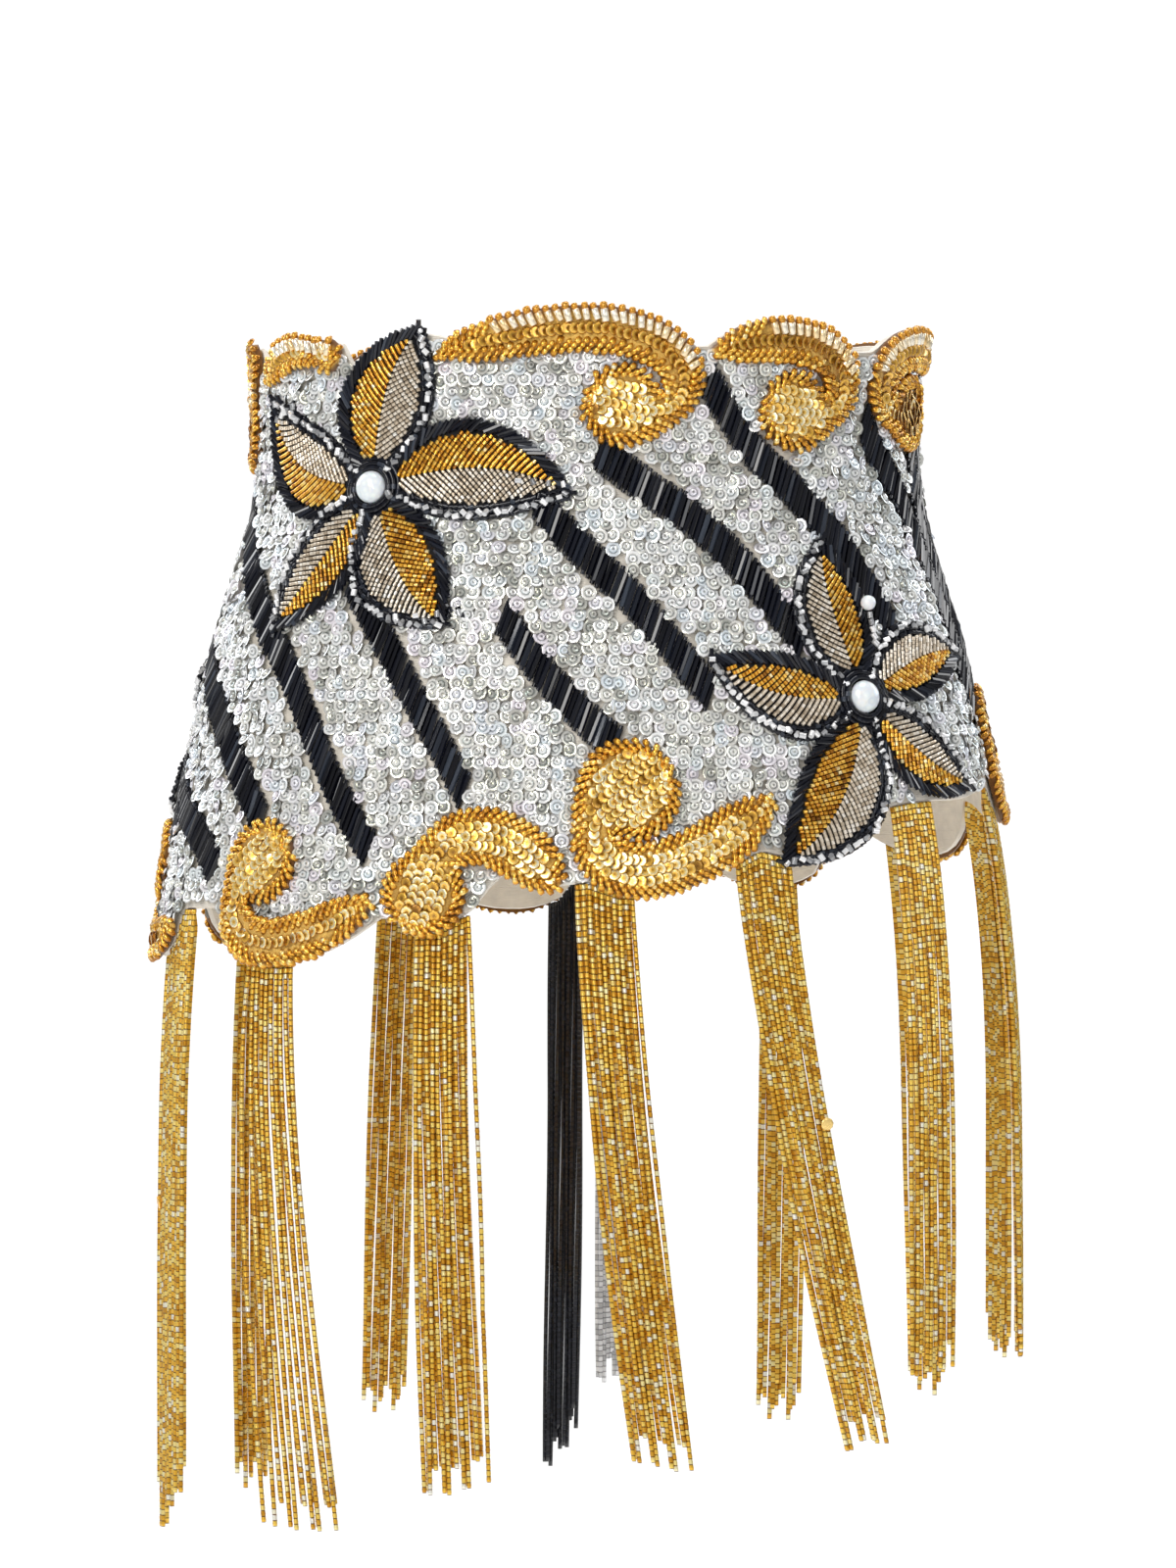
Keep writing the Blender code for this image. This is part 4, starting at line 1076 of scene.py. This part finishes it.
# A tint for each sequin at random: iridescent hues, and a spread from grey to white that is painted light,
# for how each sequin catches the light.
tint = ramp(node, node("Attribute", "Fac", attribute_name="tone"), (
    (0.0, (0.44, 0.43, 0.40)), (0.2, (0.78, 0.76, 0.72)), (0.4, (0.86, 0.85, 0.86)),
    (0.55, (0.94, 0.92, 0.86)), (0.7, (0.84, 0.90, 0.96)), (0.82, (0.96, 0.88, 0.95)),
    (0.9, (1.0, 1.0, 1.0)),
))
# Painted shade: the shade attribute darkens the bottom of each cup and the bead's hole, over the tint.
dark = ramp(node, node("Attribute", "Fac", attribute_name="shade"), (
    (0.0, (0.04, 0.04, 0.043)), (0.4, (0.34, 0.34, 0.34)), (0.9, (1.0, 1.0, 1.0)),
))
both = node("Mix", 2, {"Factor": 1.0, 6: tint, 7: dark}, data_type="RGBA", blend_type="MULTIPLY")
set_shader(Base_Color=both)

rows = []
for number, height in enumerate(np.arange(*CLEAR_HEIGHTS, CLEAR_ROWS)):
    around = girth(height) * (way_round(180) - way_round(-180))
    count = int(round(around / CLEAR_STEP))
    spots = (np.arange(count) + 0.5 * (number % 2)) / count
    angles = np.interp(way_round(-180) + spots * around / girth(height), ROUND_LENGTH, ROUND_ANGLES)
    rows.append(np.stack([angles, np.full(count, height)], 1))
angle, height = np.concatenate(rows).T
angle = angle + dice.normal(0, 0.22, len(angle))
height = height + dice.normal(0, 0.0004, len(height))
seen = on_cloth(angle, height, CLEAR_EDGE)
angle, height = angle[seen], height[seen]
for lines, margin in ((motif_lines, CLEAR_UNDER), (stripe_lines, CLEAR_STRIPE)):
    seen = clear_of(angle, height, lines, margin)
    angle, height = angle[seen], height[seen]
in_front = np.abs(angle) <= 90
for side, chosen, profile, sides in (("front", in_front, CUP, 9), ("back", ~in_front, CUP[:2] + CUP[3:], 7)):
    number = int(chosen.sum())
    place = angle[chosen], height[chosen]
    out = CLEAR_OUT + np.abs(dice.normal(0, 0.00035, number))
    axes = flat_on(*place, 90 + dice.normal(0, 25, number),
                   tilt=-CLEAR_TILT + dice.normal(0, 11, number), roll=dice.normal(0, 13, number))
    size = CLEAR_WIDE * (1 + dice.normal(0, 0.03, (number, 1)))
    cup = turned(profile, sides)
    marks = {"tone": each(dice.random(number), cup), "shade": np.tile(cup[2], number)}
    scales = copies(cup, on_figure(*place, out), axes, size)
    make_piece(f"clear_sequins_{side}", *scales, iridescent, "clear_beads", marks)

# ---------------------------------------------------------------- fringe
# Bundles of strung seed beads hang from short tapes under the hem: amber ones all round, and one black and
# one clear at the centre back.
Fringe = namedtuple("Fringe", "name angle strands pitch lean spread length")
FRINGES = [  # lean: how far the tips hang aside. spread: the tips' width against the tape's
    Fringe(*row) for row in (
        ("fringe_1", -71.5, 10, 0.0022, -0.002, 1.10, 0.222),
        ("fringe_2", -46.5, 10, 0.0023, 0.018, 1.50, 0.211),
        ("fringe_3", -19.3, 10, 0.0022, 0.006, 1.15, 0.209),
        ("fringe_4", 2.2, 10, 0.0023, 0.021, 1.00, 0.213),
        ("fringe_5", 24.0, 10, 0.0023, 0.039, 0.83, 0.219),
        ("fringe_6", 51.0, 10, 0.0023, -0.001, 1.00, 0.213),
        ("fringe_7", 82.5, 10, 0.0022, 0.010, 0.90, 0.209),
        ("fringe_8", 104.0, 8, 0.0023, 0.003, 1.10, 0.213),
        ("fringe_9", 128.0, 8, 0.0023, -0.004, 1.10, 0.213),
        ("fringe_10", 152.0, 8, 0.0023, 0.002, 1.10, 0.213),
        ("fringe_back_clear", 176.6, 7, 0.0022, -0.001, 1.00, 0.210),
        ("fringe_back_black", -176.9, 7, 0.0022, 0.002, 0.95, 0.228),
        ("fringe_11", -152.0, 8, 0.0023, 0.004, 1.10, 0.213),
        ("fringe_12", -126.0, 8, 0.0023, -0.003, 1.10, 0.213),
        ("fringe_13", -100.0, 8, 0.0023, 0.002, 1.10, 0.213),
    )
]
STRAND_IN = 0.0012  # the strands' middle, in from the cloth's outer face
TAPE_HEIGHT = 0.003
TAPE_GAP = 0.0006  # between the hem and the tape
TIP_UNEVEN = 0.006
STRAND_WAVE = 0.0004  # how far a strand sways aside on its way down
STRUNG_WIDE = 0.0020
STRUNG_STEP = 0.0022
STRUNG_GAP = 0.86  # how thin the string of beads is between two beads
STRUNG_SIDES = 5
STRAND_COUNT = 400  # from one strand's count of beads to the next one's, more than a strand holds
LAYER_COUNT = 9000  # from one layer's counts to the other's
BACK_LAYER = 0.0016  # how far behind the front strands the ones between them hang
BACK_SHORT = 0.004  # how much higher they end
BACK_SIDES = 3
STRAYS = {"fringe_2": (0, -0.0035), "fringe_3": (9, 0.0032), "fringe_4": (9, 0.0012)}  # strand, how far apart
STRAY_SEQUINS = ((31.7, -0.2636, 0.0012), (-77.0, -0.2985, 0.0004))  # angle, height, out


def strung_glass(name, stops, dark, **settings):
    """Glass beads on a string, told apart by a count that runs along it: each has its own tone from the whole
    part of the count, and the fraction near a whole number marks the gap between two beads, which takes the
    dark colour as painted shade. The palest stops are painted glints."""
    material, node, set_shader = new_material(name, **settings)
    count = node("Attribute", "Fac", attribute_name="bead")
    whole = node("Math", "Value", {0: count}, operation="FLOOR")
    tone = node("TexWhiteNoise", "Value", {"W": whole}, noise_dimensions="1D")
    near = node("Math", "Value", {0: count, 1: 0.5}, operation="PINGPONG")
    body = node("MapRange", "Result", {"Value": near, "From Min": 0.03, "From Max": 0.13})
    colour = node("Mix", 2, {"Factor": body, 6: (*dark, 1), 7: ramp(node, tone, stops)}, data_type="RGBA")
    bump = node("Bump", "Normal", {"Strength": 1.0, "Distance": 0.0003, "Height": body})
    set_shader(Base_Color=colour, Normal=bump)
    return material


def strand_tip(number, count):
    """How much further down each strand ends than its bundle: a sine of its number."""
    return TIP_UNEVEN * np.sin(2.1 * number + 1.3 * count)


def strings(centres, right, front, radii, sides):
    """Round strings along rows of ring centres, each with its own level axes and a radius for each ring."""
    count, rings = centres.shape[:2]
    turn = (np.arange(sides) + 0.5) * 2 * np.pi / sides
    way = right[:, None, :] * np.cos(turn)[None, :, None] + front[:, None, :] * np.sin(turn)[None, :, None]
    body = centres[:, :, None, :] + way[:, None] * radii[None, :, None, None]
    here = np.arange(count * rings * sides).reshape(count, rings, sides)
    there = np.roll(here, -1, axis=2)
    walls = np.stack([here[:, :-1], there[:, :-1], there[:, 1:], here[:, 1:]], -1).reshape(-1, 4)
    return body.reshape(-1, 3), [walls, np.concatenate([here[:, 0, ::-1], here[:, -1]])]


def strung_layer(fringe, number, layer, sides, rings):
    """One layer of a bundle's strings, and the count of beads at each of their points. A strand starts at the
    hem and goes aside with the power 1.4 of its depth for the bundle's lean, in step with its depth for the
    spread, and by a slow sine for its sway."""
    middle = (number - (fringe.strands - 1) / 2) * fringe.pitch
    level = float(hem(fringe.angle))
    start = hem(beside(fringe.angle, level, middle)) - TAPE_GAP
    drop = fringe.length + TAPE_HEIGHT + strand_tip(number, fringe.strands) - layer * BACK_SHORT
    beads = int(round((fringe.length + TAPE_HEIGHT) / STRUNG_STEP))
    ring = np.arange(rings * beads + 1)
    share = ring / (rings * beads)
    deep = np.clip((fringe.length * share - TAPE_HEIGHT) / fringe.length, 0, None)
    place = middle[:, None] * (1 + (fringe.spread - 1) * deep) + fringe.lean * deep**1.4
    sway = np.sin(7 * share[None, :] + 2.4 * number[:, None]) * np.minimum(3 * share, 1)
    place = place + STRAND_WAVE * sway
    if fringe.name in STRAYS and layer == 0:
        stray, apart = STRAYS[fringe.name]
        place[stray] += apart * np.sin(np.pi * np.minimum(share * 1.15, 0.8)) ** 0.8
    height = start[:, None] - drop[:, None] * share
    inward = STRAND_IN + layer * BACK_LAYER * np.minimum(1, share * 30)
    centres = on_figure(beside(fringe.angle, level, place), height, -inward)
    right = facing(beside(fringe.angle, level, middle), start)[0]
    widths = np.where(ring % 2 == 1, 1.0, STRUNG_GAP) if rings == 2 else np.ones(len(ring))
    shape = strings(centres, right, np.cross(right, (0.0, 0.0, 1.0)), widths * STRUNG_WIDE / 2, sides)
    bead = ring / rings + STRAND_COUNT * (np.arange(len(number))[:, None] + 1) + LAYER_COUNT * layer
    return shape, np.repeat(bead.ravel(), sides)


# The third entry of each is the painted shade in the gaps between beads; the palest stops are painted glints.
strung = {
    "gold": strung_glass(
        "strung_gold",
        ((0.0, (0.62, 0.28, 0.012)), (0.35, (0.94, 0.54, 0.05)), (0.7, (1.0, 0.72, 0.14)),
         (0.9, (1.0, 0.88, 0.42)), (1.0, (1.0, 0.98, 0.88))),
        (0.16, 0.055, 0.003), Metallic=0.55, Roughness=0.28, Coat_Weight=0.3, Coat_Roughness=0.06,
    ),
    "black": strung_glass(
        "strung_black", ((0.0, (0.004, 0.004, 0.006)), (1.0, (0.02, 0.022, 0.03))), (0.001, 0.001, 0.001),
        Roughness=0.14, Coat_Weight=0.5,
    ),
    "clear": strung_glass(
        "strung_clear", ((0.0, (0.5, 0.5, 0.5)), (1.0, (0.95, 0.95, 0.96))), (0.3, 0.3, 0.3),
        Metallic=0.2, Roughness=0.12, Coat_Weight=0.5,
    ),
}
for fringe in FRINGES:
    rings = 2 if abs(fringe.angle) < 90 else 1  # rings of points for each bead, which shape the ones in front
    strands = np.arange(fringe.strands)
    layers, beads = zip(
        strung_layer(fringe, strands, 0, STRUNG_SIDES, rings),
        strung_layer(fringe, strands[:-1] + 0.5, 1, BACK_SIDES, 1),
    )
    colour = fringe.name.rpartition("_")[2]
    colour = colour if colour in strung else "gold"
    name = fringe.name.replace("fringe", "strung_fringe")
    marks = {"bead": np.concatenate(beads)}
    bundle = make_piece(name, *joined(layers), strung[colour], f"{colour}_beads", marks, sharp=95.0)
    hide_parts(fringe.name)
angle, height, out = np.array(STRAY_SEQUINS).T
axes = flat_on(angle, height, 70.0, tilt=12.0)
caught = copies(flat_sequin, on_figure(angle, height, out), axes, SEQUIN_GOLD_WIDE)
make_piece("stray_sequins", *caught, sequin_gold, "gold_beads", {"tone": each([0.5, 0.3], flat_sequin)})

# ---------------------------------------------------------------- hooks and eyes
# Flat steel hooks and eyes hold the centre-back seam shut from the inside.
steel, node, set_shader = new_material("hook_steel", Metallic=1.0, Base_Color=(0.62, 0.62, 0.64, 1))
rub = node("TexNoise", "Fac", {"Vector": node("TexCoord", "Object"), "Scale": 700.0})
set_shader(Roughness=node("MapRange", "Result", {"Value": rub, "To Min": 0.2, "To Max": 0.45}))
for name, cad_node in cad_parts.items():
    if name.startswith("hook"):
        cad_node.data.materials.clear()
        cad_node.data.materials.append(steel)

# ---------------------------------------------------------------- studio
# A pale floor that curves up into a pale wall, broad soft lights from both sides and above, and white air.
FLOOR = -1.05
FLOOR_FRONT = -5.0
WALL_BACK = 4.8
WALL_TOP = 3.2
SWEEP_RADIUS = 1.4
SWEEP_SIDE = 7.0
AIR_STRENGTH = 0.3
BELT_MIDDLE = (0.0, 0.0, -0.12)
LIGHTS = (  # name, place, what it points at, size, power, colour
    ("key", (-1.3, -2.2, 1.1), BELT_MIDDLE, (0.8, 1.2), 30.0, (1.0, 0.98, 0.95)),
    ("fill", (1.6, -2.1, 0.7), BELT_MIDDLE, (0.6, 1.4), 9.0, (0.97, 0.98, 1.0)),
    ("strip", (-0.62, -2.7, 0.2), BELT_MIDDLE, (0.18, 1.0), 12.0, (1.0, 1.0, 1.0)),
    ("top", (0.2, -0.2, 2.2), BELT_MIDDLE, (1.2, 1.0), 20.0, (1.0, 1.0, 1.0)),
    ("rim_left", (-1.8, 0.9, 1.0), BELT_MIDDLE, (0.8, 1.6), 20.0, (1.0, 1.0, 1.0)),
    ("rim_right", (1.8, 0.9, 1.0), BELT_MIDDLE, (0.8, 1.6), 15.0, (1.0, 1.0, 1.0)),
    ("backdrop", (0.0, 2.4, 3.0), (0.0, 4.8, -0.3), (3.0, 0.6), 110.0, (1.0, 1.0, 1.0)),
)

turn = np.linspace(0, np.pi / 2, 16)
sweep_y = np.concatenate([[FLOOR_FRONT], WALL_BACK - SWEEP_RADIUS + SWEEP_RADIUS * np.sin(turn), [WALL_BACK]])
sweep_z = np.concatenate([[FLOOR], FLOOR + SWEEP_RADIUS * (1 - np.cos(turn)), [WALL_TOP]])
sides = np.tile([-SWEEP_SIDE, SWEEP_SIDE], len(sweep_y))
points = np.stack([sides, np.repeat(sweep_y, 2), np.repeat(sweep_z, 2)], 1)
row = np.arange(len(sweep_y) - 1)[:, None] * 2
sweep = bpy.data.meshes.new("studio_sweep")
sweep.from_pydata(points.tolist(), [], (row + np.array([0, 1, 3, 2])).tolist())
sweep.shade_smooth()
sweep.materials.append(new_material("paper", Roughness=0.9, Base_Color=(0.93, 0.925, 0.92, 1))[0])
backdrop = bpy.data.objects.new("studio_sweep", sweep)
bpy.context.scene.collection.objects.link(backdrop)

for name, place, target, (wide, tall), power, colour in LIGHTS:
    light = bpy.data.lights.new(name, "AREA")
    light.shape = "RECTANGLE"
    light.size, light.size_y = wide, tall
    light.energy = power
    light.color = colour
    lamp = bpy.data.objects.new(name, light)
    lamp.location = place
    x, y, z = np.array(target) - np.array(place)
    lamp.rotation_euler = (math.atan2(math.hypot(x, y), -z), 0.0, math.atan2(y, x) - math.pi / 2)
    bpy.context.scene.collection.objects.link(lamp)
air = bpy.data.worlds.new("white_air")
air.use_nodes = True
air.node_tree.nodes["Background"].inputs["Color"].default_value = (0.97, 0.98, 1.0, 1)
air.node_tree.nodes["Background"].inputs["Strength"].default_value = AIR_STRENGTH
bpy.context.scene.world = air
